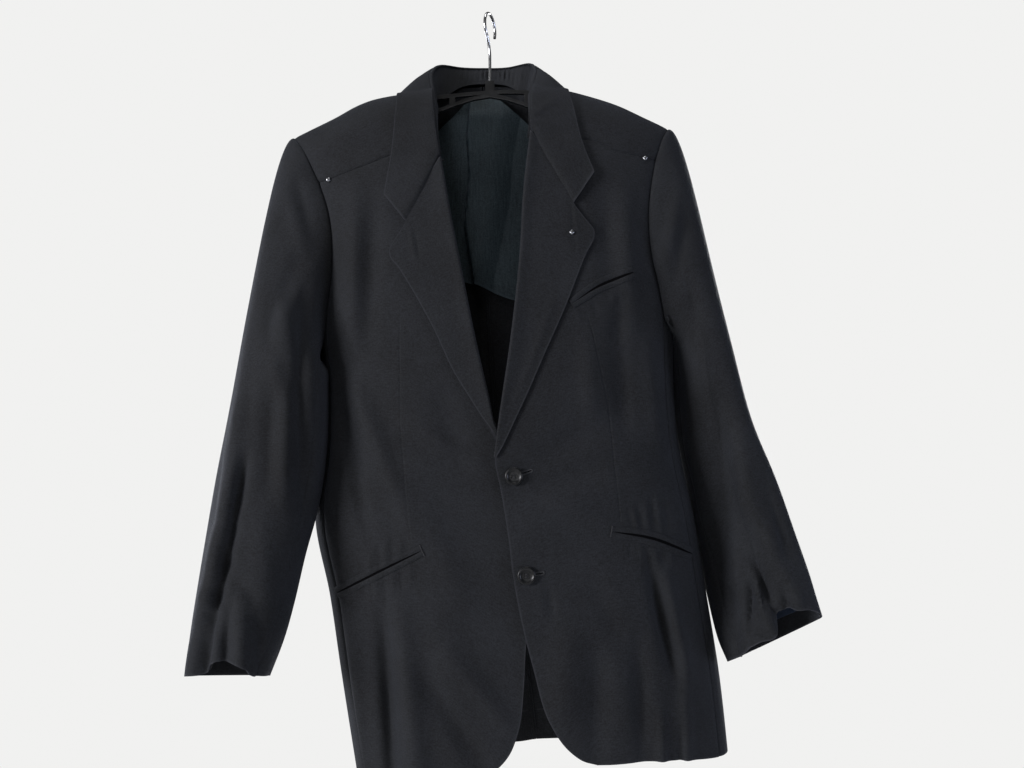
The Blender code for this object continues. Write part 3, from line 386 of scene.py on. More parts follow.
CENTRE_BACK = places((56, -876), (36, -720), (12, -540), (-2, -360), (-8, -200), (-10, -74))
BACK_NECK_MINUS = places((-71, -99), (-56, -85), (-38, -76.5), (-10, -74))
BACK_NECK_PLUS = places((-10, -74), (22, -74.5), (41, -80), (55, -92.5))
print("hems at", RIGHT.hem, "and", LEFT.hem)

# %% [markdown]
# ## Folds
#
# Cloth that hangs from the shoulders falls in long soft folds, and near a fastened button or a
# pocket it pulls into short ones. Each fold is a row: a line from one place to another, its half
# width, and its height, with a minus sign for a trough. No two are alike. Long, low folds come
# first, and then the short puckers that the stitching of the pockets draws together.

# %% Folds of the front and back
Fold = namedtuple("Fold", "x0 z0 x1 z1 width height")


def folds(*rows):
    """Folds from rows of millimetres."""
    return in_metres(Fold, *rows)


FRONT_FOLDS = folds(
    (10, -575, 170, -470, 16, -3), (30, -600, 200, -560, 14, 2.2), (-20, -560, -150, -470, 16, -2.6),
    (-30, -590, -170, -560, 14, 2), (150, -240, 160, -420, 14, 3), (-150, -240, -158, -430, 14, 3),
    (120, -640, 150, -840, 20, 3.6), (190, -660, 215, -840, 16, -3.4), (-60, -660, -30, -870, 20, 3.6),
    (-120, -690, -95, -860, 16, -3.4),
)
BACK_FOLDS = folds(
    (-110, -240, -80, -850, 18, 3.6), (-55, -330, -10, -850, 16, -3), (80, -300, 130, -840, 18, 3.6),
    (120, -230, 195, -830, 15, -3),
)
FRONT_CREASES = folds(
    (-157, -440, -70, -650, 12, 5.9), (-170, -460, -125, -640, 10, -5.4),
    (-100, -545, -15, -715, 18, 4.9), (-112, -690, -97, -960, 9, -10), (-100, -680, -64, -960, 16, 9.5),
    (-50, -740, 30, -835, 13, 6.7), (-75, -760, 10, -890, 13, -6.7), (-19, -565, -56, -465, 16, -3.6),
    (-154, -215, -148, -430, 12, 4.1), (-129, -230, -134, -430, 12, -3.6), (2, -554, -100, -497, 10, 3.1),
    (-153, -700, -136, -960, 10, 6.2), (152, -350, 144, -415, 10, -4.4), (145, -385, 152, -525, 12, -5.4),
    (179, -400, 194, -540, 12, 4.9), (111, -390, 116, -520, 12, 3.6), (174, -645, 206, -780, 8, -8.2),
    (193, -655, 220, -790, 9, 7.7), (217, -740, 212, -930, 8, 5.9), (163, -720, 168, -880, 10, -5.9),
    (187, -800, 189, -920, 6, 4.9), (211, -815, 207, -920, 5, -4.9), (110, -660, 154, -770, 14, -4.1),
    (66, -676, 70, -716, 6, -2), (46, -567, 130, -552, 12, -3.1), (58, -584, 140, -612, 12, 2.6),
    (91, -700, 76, -850, 18, 5.4), (122, -720, 114, -900, 14, -4.9), (156, -210, 163, -380, 12, 3.6),
    (131, -220, 139, -360, 12, -3.1),
)
PUCKERS = folds(
    (-140, -650, -142, -673, 3, 0.5), (-127, -642, -128, -668, 3, 0.9),
    (-118, -630, -117, -664, 2.8, -0.9), (-111, -632, -110, -660, 2.8, 0.9),
    (-104, -622, -102, -657, 3, -1), (-94, -625, -93, -649, 2.8, 0.9), (-87, -622, -85, -643, 2.5, -0.7),
    (-134, -676, -135, -698, 3, -0.8), (-122, -669, -120, -693, 2.8, 0.9),
    (-112, -664, -109, -703, 3.2, -1.2), (-103, -660, -101, -688, 2.8, 0.8),
    (-94, -655, -91, -685, 3, -1), (-84, -651, -81, -680, 3, 0.8), (152, -594, 159, -619, 3, -0.9),
    (158, -595, 164, -620, 2.8, 0.9), (163, -588, 170, -623, 3, -1.2), (172, -586, 176, -623, 3, 1),
    (179, -580, 183, -626, 3, -1.2), (186, -578, 191, -627, 3.2, 1.2), (196, -584, 199, -630, 3, -0.8),
    (154, -630, 156, -652, 2.8, -0.8), (165, -631, 168, -656, 2.8, 0.8),
    (173, -632, 178, -670, 3.2, -1.4), (182, -636, 185, -659, 2.8, 0.9), (190, -637, 193, -664, 2.8, -1),
    (200, -640, 203, -662, 2.8, 0.8), (100, -372, 102, -392, 3, 0.5), (118, -360, 121, -386, 3.5, -0.7),
    (140, -350, 142, -372, 3.5, 0.7),
)
BACK_CREASES = folds(
    (-150, -300, -120, -480, 12, -2.9), (-140, -520, -60, -600, 13, 2.6), (-20, -540, 70, -520, 12, -2.3),
    (30, -470, 160, -500, 13, 2.3), (160, -260, 150, -460, 12, 2.9), (-60, -640, -75, -960, 12, 3.6),
    (20, -660, 45, -960, 11, -3.4), (200, -600, 225, -940, 11, 3.9), (100, -690, 135, -950, 12, -3.1),
    (-130, -150, -60, -190, 12, -1.8), (50, -160, 130, -180, 12, -1.8),
)
FRONT_FOLDS = FRONT_FOLDS + FRONT_CREASES + PUCKERS
BACK_FOLDS = BACK_FOLDS + BACK_CREASES
print("folds in front:", len(FRONT_FOLDS), "behind:", len(BACK_FOLDS))


# %% Smooth curves through sizes
def smooth(knots, values, at):
    """Read a smooth curve through a table's rows at any number of places."""
    knots = np.asarray(knots, dtype=float)
    values = np.asarray(values, dtype=float)
    at = np.clip(np.asarray(at, dtype=float), knots[0], knots[-1])
    slopes = np.gradient(values, knots, axis=0)
    i = np.clip(np.searchsorted(knots, at, side="right") - 1, 0, len(knots) - 2)
    step = knots[i + 1] - knots[i]
    t = (at - knots[i]) / step
    if values.ndim == 2:
        t = t[..., None]
        step = step[..., None]
    start = (2 * t**3 - 3 * t**2 + 1) * values[i] + (t**3 - 2 * t**2 + t) * step * slopes[i]
    return start + (3 * t**2 - 2 * t**3) * values[i + 1] + (t**3 - t**2) * step * slopes[i + 1]


def curve(points, t):
    """Points at fractions t of the length of a smooth curve through the given points."""
    points = np.asarray(points, dtype=float)
    lengths = np.linalg.norm(np.diff(points, axis=0), axis=1)
    knots = np.concatenate([[0.0], np.cumsum(lengths)])
    return smooth(knots / knots[-1], points, t)


print("a third of the way up the front edge:", curve(EDGE_PLUS, np.array(1 / 3)).round(3))


# %% The front and back surfaces
def body_section(z):
    """Middle, half width, front depth and back depth of the body at a height."""
    row = smooth([-r.z for r in BODY], [r[1:] for r in BODY], -np.asarray(z))
    left, right, front, back = np.moveaxis(row, -1, 0)
    return (left + right) / 2, (right - left) / 2, front, back


def ridge(x):
    """Height of the shoulder line."""
    table = np.array(RIDGE)
    return smooth(table[:, 0], table[:, 1], x)


def fold_heights(folds, a, b):
    """Sum of soft ridges and troughs, each along its own line, fading at its ends."""
    total = np.zeros(np.broadcast(a, b).shape)
    for fold in folds:
        a0, b0, a1, b1, width, height = fold
        length = math.hypot(a1 - a0, b1 - b0)
        run = ((a - a0) * (a1 - a0) + (b - b0) * (b1 - b0)) / length**2
        away = ((a - a0) * (b1 - b0) - (b - b0) * (a1 - a0)) / length
        fade = np.sin(np.pi * np.clip(run, 0.0, 1.0)) ** 0.8
        total = total + height * fade * np.exp(-(away / width) ** 2)
    return total


def side_rounding(x, z):
    """Share of the depth that is left at x, from 1 in the middle to 0 at the side."""
    middle, half, _, _ = body_section(z)
    across = np.clip(np.abs(x - middle) / half, 0.0, 1.0)
    return (1 - across**SIDE_SQUARENESS) ** (1 / SIDE_SQUARENESS)


def shoulder_rounding(fall):
    """Share of the depth that is left near the shoulder line."""
    fall = np.clip(fall, 0.0, 1.0)
    return np.sqrt(1 - (1 - fall) ** 2)


def front_y(x, z):
    """The coat's outer front surface."""
    depth = body_section(z)[2] * side_rounding(x, z)
    rounding = shoulder_rounding((ridge(x) - z) / SHOULDER_DROP_FRONT)
    return -depth * rounding - fold_heights(FRONT_FOLDS, x, z)


def front_left_y(x, z):
    """The wearer's left front: it lies over the right one along the buttoned edge."""
    edge = np.array(EDGE_PLUS)
    start = smooth(edge[:, 1], edge[:, 0], z)
    near = np.clip(1 - (x - start) / OVERLAP_FADE, 0.0, 1.0)
    below_lapel = np.clip((-0.30 - z) / 0.20, 0.0, 1.0)
    return front_y(x, z) - OVERLAP_LIFT * near**2 * (3 - 2 * near) * below_lapel


def back_y(x, z):
    """The coat's outer back surface, which stands up to the neck between the shoulders."""
    depth = body_section(z)[3] * side_rounding(x, z)
    inside = np.minimum(x - NECK_LEFT, NECK_RIGHT - x)
    rise = NECK_RISE * np.clip(inside / NECK_FADE, 0.0, 1.0)
    rounding = shoulder_rounding((ridge(x) + rise - z) / SHOULDER_DROP_BACK)
    return depth * rounding + fold_heights(BACK_FOLDS, x, z)


def seam_x(z, side, ratio):
    """Place of a side seam at a height, as a share of the half width."""
    middle, half, _, _ = body_section(z)
    return middle + side * ratio * half

print("depth at the chest:", round(float(back_y(0.0, -0.3) - front_y(0.12, -0.3)), 3), "m")

# %% [markdown]
# ## From a grid to a panel
#
# Every panel starts as a grid primitive with one vertex for each thread crossing that we want to
# steer. Its four edges are laid along the panel's cut, the inside is spread evenly between them, and
# the whole grid is pushed on to the form. Near a seam the rows lie closer together, because the
# cloth dips there and its allowance turns inwards. A Solidify modifier gives the wall.


# %% Spreading points between four edges
def patch(bottom, top, left, right, u, v):
    """Grid in x and z between a panel's four edges."""
    low, high = curve(bottom, u)[None, :, :], curve(top, u)[None, :, :]
    near, far = curve(left, v)[:, None, :], curve(right, v)[:, None, :]
    across, up = u[None, :, None], v[:, None, None]
    corners = (1 - up) * ((1 - across) * np.array(bottom[0]) + across * np.array(bottom[-1]))
    corners = corners + up * ((1 - across) * np.array(top[0]) + across * np.array(top[-1]))
    return (1 - up) * low + up * high + (1 - across) * near + across * far - corners


def moved_out(points, distance):
    """A grid of points moved along its surface's outward normals."""
    along, up = np.gradient(points, axis=1), np.gradient(points, axis=0)
    normal = np.cross(along, up)
    normal = normal / np.linalg.norm(normal, axis=2)[..., None]
    return points + normal * np.broadcast_to(distance, points.shape[:2])[..., None]


def on_surface(grid, surface):
    """Points in space for a grid in x and z."""
    x, z = grid[..., 0], grid[..., 1]
    return np.stack([x, surface(x, z), z], axis=-1)


def close_steps(count, length, gap=SEAM_GAP):
    """Fractions across a length, close together at both ends, with half a seam's gap left free."""
    near = np.array([0.0, 0.0007, 0.0016, 0.0028, 0.0045]) / length
    middle = np.linspace(near[-1], 1 - near[-1], count)
    fractions = np.concatenate([near[:-1], middle, 1 - near[-2::-1]])
    trim = gap / length
    return trim + (1 - 2 * trim) * fractions


print("rows over 0.25 m:", len(close_steps(90, 0.25)))


# %% Seams and pressed edges
SEAM_DIP = 0.0011
SEAM_REACH = 0.0022
ALLOWANCE = 0.0035
ALLOWANCE_FADE = 0.012
GRID_EDGES = {"low": (0, False), "high": (0, True), "near": (1, False), "far": (1, True)}


def from_edge(points, edge):
    """Distance over the cloth from one edge of a grid of points."""
    axis, backwards = GRID_EDGES[edge]
    lengths = np.linalg.norm(np.diff(points, axis=axis), axis=2)
    run = np.cumsum(lengths, axis=axis)
    run = np.concatenate([np.zeros_like(np.take(run, [0], axis=axis)), run], axis=axis)
    return np.take(run, [-1], axis=axis) - run if backwards else run


def sewn(points, edges, dip=SEAM_DIP):
    """Draw a panel in along its seams, and turn an allowance inwards at each."""
    depth = sum(dip * np.exp(-from_edge(points, edge) / SEAM_REACH) for edge in edges)
    points = moved_out(points, -depth)
    inside = moved_out(points, -ALLOWANCE * np.clip(from_edge(points, "low") / ALLOWANCE_FADE, 0.2, 1))
    for edge in edges:
        axis, backwards = GRID_EDGES[edge]
        row = np.take(inside, [-1 if backwards else 0], axis=axis)
        points = np.concatenate([points, row] if backwards else [row, points], axis=axis)
        inside = np.concatenate([inside, row] if backwards else [row, inside], axis=axis)
    return points


print("seam edges draw in by", SEAM_DIP * 1000, "mm")


# %% Making the cloth piece
INWARDS, OUTWARDS = -1, 1
NARROW = 0.012
# Width of the painted highlight band along pressed edges
PAINTED_HIGHLIGHT_WIDTH = 0.0012
THIN_WALL = 0.0008
TURNING_WALL = 0.0009
made = []


def only(piece):
    """Select one piece and make it the active one."""
    bpy.ops.object.select_all(action="DESELECT")
    piece.select_set(True)
    bpy.context.view_layer.objects.active = piece


def finished(piece, material, nodes=()):
    """Give a piece its material and body, hide the nodes that it stands for, and list it as made."""
    piece.data.materials.clear()
    piece.data.materials.append(material)
    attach(piece, "root")
    if nodes:
        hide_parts(*nodes)
    made.append(piece.name)


def cut_size(points):
    """Width, length and area of the cloth in a grid, as it would be cut flat."""
    width = from_edge(points, "near")[:, -1].max()
    length = from_edge(points, "low")[-1].max()
    across, up = points[1:, 1:] - points[:-1, :-1], points[1:, :-1] - points[:-1, 1:]
    area = np.linalg.norm(np.cross(across, up), axis=2).sum() / 2
    return float(width), float(length), float(area)


def spread_uv(mesh, row, column, points):
    """Lay the UV map out in metres over the cloth."""
    across, up = from_edge(points, "near"), from_edge(points, "low")
    across = across - across[:, across.shape[1] // 2][:, None]
    layout = np.stack([across[row, column], up[row, column]], axis=-1)
    corner = np.empty(len(mesh.loops), dtype=np.int32)
    mesh.loops.foreach_get("vertex_index", corner)
    layer = mesh.uv_layers.active or mesh.uv_layers.new(name="UVMap")
    layer.name = "UVMap"
    layer.data.foreach_set("uv", layout[corner].ravel())


def swapped(edges, flip):
    """The names of a grid's edges after it is turned over from side to side."""
    other = {"near": "far", "far": "near"}
    return [other.get(edge, edge) if flip else edge for edge in edges]


def cloth_piece(name, points, nodes=(), wall=SUITING_WALL, side=INWARDS, cloth=suiting, seams=(), pressed=(),
                flip=False, dip=SEAM_DIP):
    """A panel: a grid primitive laid on points, with its seams, wall, UV map and a painted highlight along
    its pressed edges.
    """
    if flip:
        points = points[:, ::-1]
    seams, pressed = swapped(seams, flip), swapped(pressed, flip)
    if seams:
        points = sewn(points, seams, dip)
    rows, columns = points.shape[:2]
    bpy.ops.object.select_all(action="DESELECT")
    bpy.ops.mesh.primitive_grid_add(x_subdivisions=columns - 1, y_subdivisions=rows - 1, size=1.0)
    piece = bpy.context.active_object
    piece.name = name
    mesh = piece.data
    mesh.name = name
    flat = np.empty(len(mesh.vertices) * 3)
    mesh.vertices.foreach_get("co", flat)
    flat = flat.reshape(-1, 3)
    column = np.rint((flat[:, 0] + 0.5) * (columns - 1)).astype(int)
    row = np.rint((flat[:, 1] + 0.5) * (rows - 1)).astype(int)
    mesh.vertices.foreach_set("co", points[row, column].ravel())
    spread_uv(mesh, row, column, points)
    # Painted highlight: a lighter band along each pressed edge, stored in the edge attribute
    painted_edge_highlight = np.zeros((rows, columns))
    for edge in pressed:
        painted_edge_highlight = np.maximum(painted_edge_highlight, np.exp(-(from_edge(points, edge) / PAINTED_HIGHLIGHT_WIDTH) ** 2))
    mesh.attributes.new("edge", "FLOAT", "POINT").data.foreach_set("value", painted_edge_highlight[row, column])
    mesh.update()
    bpy.ops.object.shade_smooth()
    bpy.ops.object.modifier_add(type="SOLIDIFY")
    solidify = piece.modifiers[-1]
    solidify.thickness = wall
    solidify.offset = side
    solidify.use_even_offset = False
    solidify.use_rim = True
    bpy.ops.object.modifier_apply(modifier=solidify.name)
    bpy.ops.object.shade_smooth_by_angle(angle=math.radians(55))
    finished(piece, cloth, nodes)
    width, length, area = cut_size(points)
    size = f"{width * 1000:.0f} x {length * 1000:.0f} mm, {area * 1e4:.0f} square cm"
    if min(width, length) > NARROW:
        area = min(area, width * length)
    print(f"{name}: cut {size}, {len(mesh.polygons)} faces")


print("cloth pieces will ride on the one body, root")

# %% [markdown]
# ## Fronts
#
# Each front runs from the hem to the yoke seam. Its outer edge goes up the side seam and on round
# the armhole, and its inner edge goes up the curved front and on along the lapel's roll. A dart
# takes in the waist: it shows as a fine line from the chest to the pocket. One column of the grid is
# slid on to that line, so that the cloth can dip there sharply without a finer grid everywhere.

# %% Side seams, armholes and darts
DART_RIGHT = places((-97.5, -380), (-98, -406), (-95.5, -508), (-82, -634))
DART_LEFT = places((108, -372), (116, -400), (133, -482), (145, -613))
DART_DEPTH = 0.0004
DART_WIDTH = 0.0009
DART_STEPS = np.array([-0.0022, -0.0012, -0.0005, 0, 0.0005, 0.0012, 0.0022])
DART_FADE_TOP, DART_FADE_FOOT = 0.02, 0.004
SEAM_POINTS = 70


def side_edge(side, ratio, foot, armhole):
    """A panel's outer edge: up its side seam and on along the armhole."""
    heights = np.linspace(side.hem, foot, SEAM_POINTS)
    seam = [(float(seam_x(z, side.sign, ratio)), float(z)) for z in heights]
    return seam[:-1] + curve([seam[-1]] + armhole, np.linspace(0, 1, 51)).tolist()


def shoulder_point(side):
    """The top of the armhole, on the shoulder line."""
    return (side.shoulder, float(ridge(side.shoulder)))


def panel_with_dart(bottom, top, near, far, count, v, dart):
    """A panel's grid in x and z whose columns gather on to a dart's line."""
    fine = np.linspace(0, 1, 500)
    plan = patch(bottom, top, near, far, fine, v)
    width = abs(plan[0, -1, 0] - plan[0, 0, 0])
    line = np.array(dart)
    here = np.interp(line[-1, 0], *sorted_pairs(plan[len(v) // 3, :, 0], fine))
    u = np.unique(np.concatenate([close_steps(count, width), here + DART_STEPS / width]))
    result = np.empty((len(v), len(u), 2))
    for r, row in enumerate(plan):
        goal = np.interp(row[:, 1].mean(), line[::-1, 1], line[::-1, 0])
        at = np.interp(goal, *sorted_pairs(row[:, 0], fine))
        hat = np.minimum(u / here, (1 - u) / (1 - here))
        source = u + (at - here) * np.clip(hat, 0, 1)
        result[r, :, 0] = np.interp(source, fine, row[:, 0])
        result[r, :, 1] = np.interp(source, fine, row[:, 1])
    return result


def sorted_pairs(x, y):
    """Two rows of numbers put in the first one's rising order."""
    order = np.argsort(x)
    return x[order], y[order]


def dart_dip(plan, dart):
    """Depth of the fine groove that a sewn dart leaves."""
    line = np.array(dart)
    x, z = plan[..., 0], plan[..., 1]
    away = x - np.interp(z, line[::-1, 1], line[::-1, 0])
    ends = np.clip((line[0, 1] - z) / DART_FADE_TOP, 0, 1) * np.clip((z - line[-1, 1]) / DART_FADE_FOOT, 0, 1)
    return DART_DEPTH * ends * np.exp(-(away / DART_WIDTH) ** 2)


print("darts are", [round(math.dist(dart[0], dart[-1]), 3) for dart in (DART_RIGHT, DART_LEFT)], "m long")

# %% The two fronts
UNDER_LAPEL = 0.0035
UNDER_LAPEL_FADE = 0.05


def under_roll(roll, away):
    """The front's edge along the roll, drawn back under the lapel above the break."""
    points = np.array(roll)
    share = np.clip((points[:, 1] - points[0, 1]) / UNDER_LAPEL_FADE, 0, 1)
    return (points + np.stack([away * share, np.zeros(len(points))], axis=-1)).tolist()


front_rows = close_steps(228, 0.70)
outer = side_edge(RIGHT, FRONT_SEAM_RATIO, RIGHT.front_foot, RIGHT.armhole_front[:5])
bottom = [outer[0], (-0.100, -0.8925), EDGE_MINUS[0]]
inner = EDGE_MINUS + under_roll(ROLL_MINUS, -UNDER_LAPEL)[1:]
seam = YOKE_SEAM_MINUS[:-1] + [inner[-1]]
plan = panel_with_dart(bottom, seam, outer, inner, 112, front_rows, DART_RIGHT)
points = moved_out(on_surface(plan, front_y), -dart_dip(plan, DART_RIGHT))
cloth_piece("front_right_cloth", points, ["front_right"], seams=["near", "high"], pressed=["far", "low"])

outer = side_edge(LEFT, FRONT_SEAM_RATIO, LEFT.front_foot, LEFT.armhole_front[:5])
bottom = [EDGE_PLUS[0], (0.180, -0.8640), outer[0]]
inner = EDGE_PLUS + under_roll(ROLL_PLUS, UNDER_LAPEL)[1:]
seam = [inner[-1]] + YOKE_SEAM_PLUS[1:]
plan = panel_with_dart(bottom, seam, inner, outer, 112, front_rows, DART_LEFT)
points = moved_out(on_surface(plan, front_left_y), -dart_dip(plan, DART_LEFT))
cloth_piece("front_left_cloth", points, ["front_left"], seams=["far", "high"], pressed=["near", "low"])

# %% [markdown]
# ## Yokes, sides and backs
#
# A pointed yoke covers each shoulder in front. The side panels turn round under the arms, and two
# back panels meet at the centre back. They come from the same form, so their seams meet by
# themselves. A narrow pressed allowance closes the side and centre back seams from inside.

# %% Yokes
for side, seam, neckline in (
    (RIGHT, YOKE_SEAM_MINUS, NECKLINE_MINUS),
    (LEFT, YOKE_SEAM_PLUS[::-1], NECKLINE_PLUS),
):
    armhole = side.armhole_front[4:] + [shoulder_point(side)]
    top = [(float(x), float(ridge(x))) for x in np.linspace(side.shoulder, neckline[-1][0], 40)]
    rise = close_steps(34, 0.075)
    rise = np.concatenate([rise[rise < 0.7], 0.7 + 0.3 * np.sin(np.linspace(0, 1, 24) * math.pi / 2)])
    plan = patch(seam, top, armhole, neckline, close_steps(56, 0.15), rise)
    plan[-1, :, 1] = ridge(plan[-1, :, 0])
    points = on_surface(plan, front_y)
    points[..., 1] = np.minimum(points[..., 1], -SEAM_GAP)
    cloth_piece(f"yoke_{side.word}_cloth", points, [f"yoke_{side.word}"],
                seams=["low", "near"], flip=side.sign == 1)


# %% Side panels
def underarm_height(side, turn):
    """Top edge of a side panel: it dips below the arm."""
    turn = np.clip(turn, 0, 1)
    ends = side.front_foot + (side.back_foot - side.front_foot) * turn
    return ends - (ends - side.underarm) * np.sin(np.pi * turn) ** 0.7


def side_points(side, turn, rise):
    """Points of a side panel, by its turn from front to back and its rise from the hem."""
    top = underarm_height(side, turn)
    z = side.hem + (top[None, :] - side.hem) * rise[:, None]
    middle, half, front, back = body_section(z)
    power = 2 / SIDE_SQUARENESS
    begin = math.acos(FRONT_SEAM_RATIO ** (1 / power))
    end = math.acos(BACK_SEAM_RATIO ** (1 / power))
    angle = -begin + (begin + end) * turn[None, :]
    depth = np.where(angle < 0, front, back)
    x = middle + side.sign * half * np.cos(angle) ** power
    y = depth * np.sign(angle) * np.abs(np.sin(angle)) ** power
    return np.stack([x, y, z], axis=-1)


for side in (RIGHT, LEFT):
    points = side_points(side, close_steps(26, 0.10), close_steps(180, 0.5))
    cloth_piece(f"side_{side.word}_cloth", points, [f"side_{side.word}"],
                seams=["near", "far", "high"], pressed=["low"], flip=side.sign == -1)

# %% Backs
HEM_MIDDLE = {"right": (-0.03, -0.886), "left": (0.17, -0.872)}

BACK_LENGTH, BACK_WIDTH = 0.8, 0.24


def back_outline(side):
    """A back panel's outer edge, and its hem from there to the centre back."""
    outer = side_edge(side, BACK_SEAM_RATIO, side.back_foot, side.armhole_back + [shoulder_point(side)])
    return outer, [outer[0], HEM_MIDDLE[side.word], CENTRE_BACK[0]]


for side, neck in ((RIGHT, BACK_NECK_MINUS), (LEFT, BACK_NECK_PLUS[::-1])):
    outer, bottom = back_outline(side)
    slope = [(float(x), float(ridge(x))) for x in np.linspace(outer[-1][0], neck[0][0], 40)]
    shoulder_rows = np.sin(np.linspace(0.02, 1, 46) * math.pi / 2)
    rise = np.concatenate([close_steps(170, BACK_LENGTH)[:-4] * 0.86, 0.86 + 0.14 * shoulder_rows])
    plan = patch(bottom, slope + neck[1:], outer, CENTRE_BACK, close_steps(64, BACK_WIDTH), rise)
    on_slope = np.abs(plan[-1, :, 1] - ridge(plan[-1, :, 0])) < 0.0006
    plan[-1, on_slope, 1] = ridge(plan[-1, on_slope, 0])
    points = on_surface(plan, back_y)
    points[..., 1] = np.maximum(points[..., 1], SEAM_GAP)
    cloth_piece(f"back_{side.word}_cloth", points, [f"back_{side.word}"],
                seams=["near", "far"], pressed=["low"], flip=side.sign == -1)

# %% Allowances behind the seams
BEHIND_SEAM = 0.0042
ALLOWANCE_WIDTH = 0.012
TURNING_GAP = 0.0004
for side in (RIGHT, LEFT):
    for word, turn in (("front", 0.0), ("back", 1.0)):
        points = side_points(side, turn + np.linspace(-0.05, 0.05, 7), np.linspace(0.003, 0.985, 150))
        points = points if side.sign == 1 else points[:, ::-1]
        cloth_piece(f"side_allowance_{word}_{side.word}", moved_out(points, -BEHIND_SEAM), wall=THIN_WALL)

middle = curve(CENTRE_BACK, np.linspace(0.002, 0.985, 160))
across = np.linspace(-ALLOWANCE_WIDTH, ALLOWANCE_WIDTH, 9)
plan = middle[:, None, :] + across[None, :, None] * np.array([-1.0, 0.0])
groove = SEAM_DIP * np.exp(-(across / 0.003) ** 2)[None, :]
points = moved_out(on_surface(plan, back_y), -(SUITING_WALL + TURNING_GAP) - groove)
cloth_piece("centre_back_allowance", points, wall=THIN_WALL)
print("the centre back's allowance is", 2 * ALLOWANCE_WIDTH * 1000, "mm wide")

# %% [markdown]
# ## Sleeves
#
# A sleeve is a tube of two pieces with a seam in front and one behind. Its head leaves the armhole
# outwards and curves down into the hanging tube. The rows give its inner and outer edge and its
# depth. Long folds run down the forearm, where the empty sleeve buckles.

# %% Sleeve sizes and folds
SLEEVE_SQUARENESS = 2.3
HEAD_REACH = 0.080
FRONT_SLEEVE_SEAM = 148.0
BACK_SLEEVE_SEAM = 252.0
CLOTH_WALL = 0.0018
SleeveRow = namedtuple("SleeveRow", "x_in y_in z_in x_out y_out z_out half_depth lift")
SLEEVE_MINUS = in_metres(
    SleeveRow,
    (-180, -58, -455, -281, -36, -407, 47, 4),
    (-179, -62, -525, -290.5, -46, -486, 47, 4),
    (-186.5, -62, -590, -301, -55, -562, 45, 4),
    (-199.5, -67, -645, -310, -61, -637, 44, 5),
    (-209.5, -72, -695, -316, -66, -693, 43, 6),
    (-219, -77, -734, -319, -72, -734, 42, 7),
    (-233, -80, -772.5, -320, -76, -774, 41, 8),
)
SLEEVE_PLUS = in_metres(
    SleeveRow,
    (214, 4, -418, 279, -20, -403, 51, 4),
    (221, 26, -506, 301, -24, -496, 50, 5),
    (237.7, 24, -589.6, 327, -30, -566, 46, 6),
    (247, 18, -647, 345, -36, -625, 43, 7),
    (255.5, 2, -705, 357, -44, -667, 38, 8),
    (260, -22, -742, 363, -50, -694, 35, 9),
    (267, -40, -766, 368, -54, -716, 33, 10),
)
SleeveFold = namedtuple("SleeveFold", "along0 round0 along1 round1 width height")
SLEEVE_FOLDS_MINUS = [
    SleeveFold(0.20, 40.0, 0.52, 75.0, 9.0, 0.0030),
    SleeveFold(0.50, 60.0, 0.70, 115.0, 9.0, -0.0032),
    SleeveFold(0.62, 40.0, 0.78, 100.0, 8.0, 0.0030),
    SleeveFold(0.74, 70.0, 1.00, 88.0, 9.0, 0.0034),
    SleeveFold(0.30, 300.0, 0.60, 330.0, 10.0, 0.0030),
    SleeveFold(0.62, 290.0, 0.82, 340.0, 10.0, -0.0030),
]
SLEEVE_FOLDS_PLUS = [
    SleeveFold(0.18, 80.0, 0.46, 110.0, 9.0, -0.0030),
    SleeveFold(0.40, 60.0, 0.66, 90.0, 9.0, 0.0030),
    SleeveFold(0.70, 95.0, 1.00, 110.0, 8.0, -0.0034),
    SleeveFold(0.74, 60.0, 1.00, 72.0, 9.0, 0.0030),
    SleeveFold(0.36, 290.0, 0.62, 330.0, 10.0, 0.0030),
    SleeveFold(0.66, 300.0, 0.86, 340.0, 10.0, -0.0030),
]
SLEEVE_CREASES_RIGHT = folds(
    (-248, -260, -270, -540, 10, 3.1), (-257, -350, -261, -520, 8, -2.5),
    (-270, -470, -272, -590, 9, 5.2), (-268, -540, -288, -660, 10, 6.2),
    (-280, -610, -300, -720, 10, 6.2), (-294, -680, -314, -820, 9, 6.2),
    (-258, -530, -272, -640, 6, -7.9), (-268, -610, -284, -705, 6, -8.2),
    (-279, -675, -300, -810, 6, -7.5), (-211, -430, -216, -600, 10, 5.2),
    (-195, -500, -198, -620, 8, -5.2), (-233, -450, -233, -590, 10, -3.4),
    (-241, -590, -230, -710, 12, 2.8), (-256, -670, -251, -830, 9, 6.4),
    (-268, -690, -269, -820, 6, -4.6), (-238, -700, -236, -820, 6, -4), (-233, -350, -206, -440, 8, 3.1),
    (-240, -395, -200, -495, 8, -2.8), (-235, -225, -204, -320, 8, 2.8),
    (-227, -205, -200, -290, 7, -2.2), (-208, -300, -248, -415, 10, -3.2),
    (-204, -330, -203, -600, 9, -7.7), (-228, -360, -226, -480, 10, 3.7),
)
SLEEVE_CREASES_LEFT = folds(
    (230, -445, 239, -560, 8, 5.3), (236, -500, 248, -640, 9, 7.4), (245, -580, 252, -790, 9, 7.6),
    (258, -465, 270, -620, 10, -6.9), (268, -565, 263, -720, 10, -6.4), (280, -500, 296, -620, 10, 6.1),
    (290, -575, 342, -710, 11, 7.4), (294, -650, 312, -700, 4.5, -7.6), (295, -660, 306, -730, 5, 8),
    (295, -670, 286, -730, 4, -7.4), (321, -675, 337, -740, 4.5, -6.1), (275, -680, 266, -790, 8, -6.9),
    (235, -380, 254, -490, 10, 3.6), (224, -325, 242, -430, 8, -3.3), (220, -225, 199, -330, 8, 4),
    (229, -260, 208, -360, 8, -3.3), (307, -545, 332, -670, 10, -4.5),
)
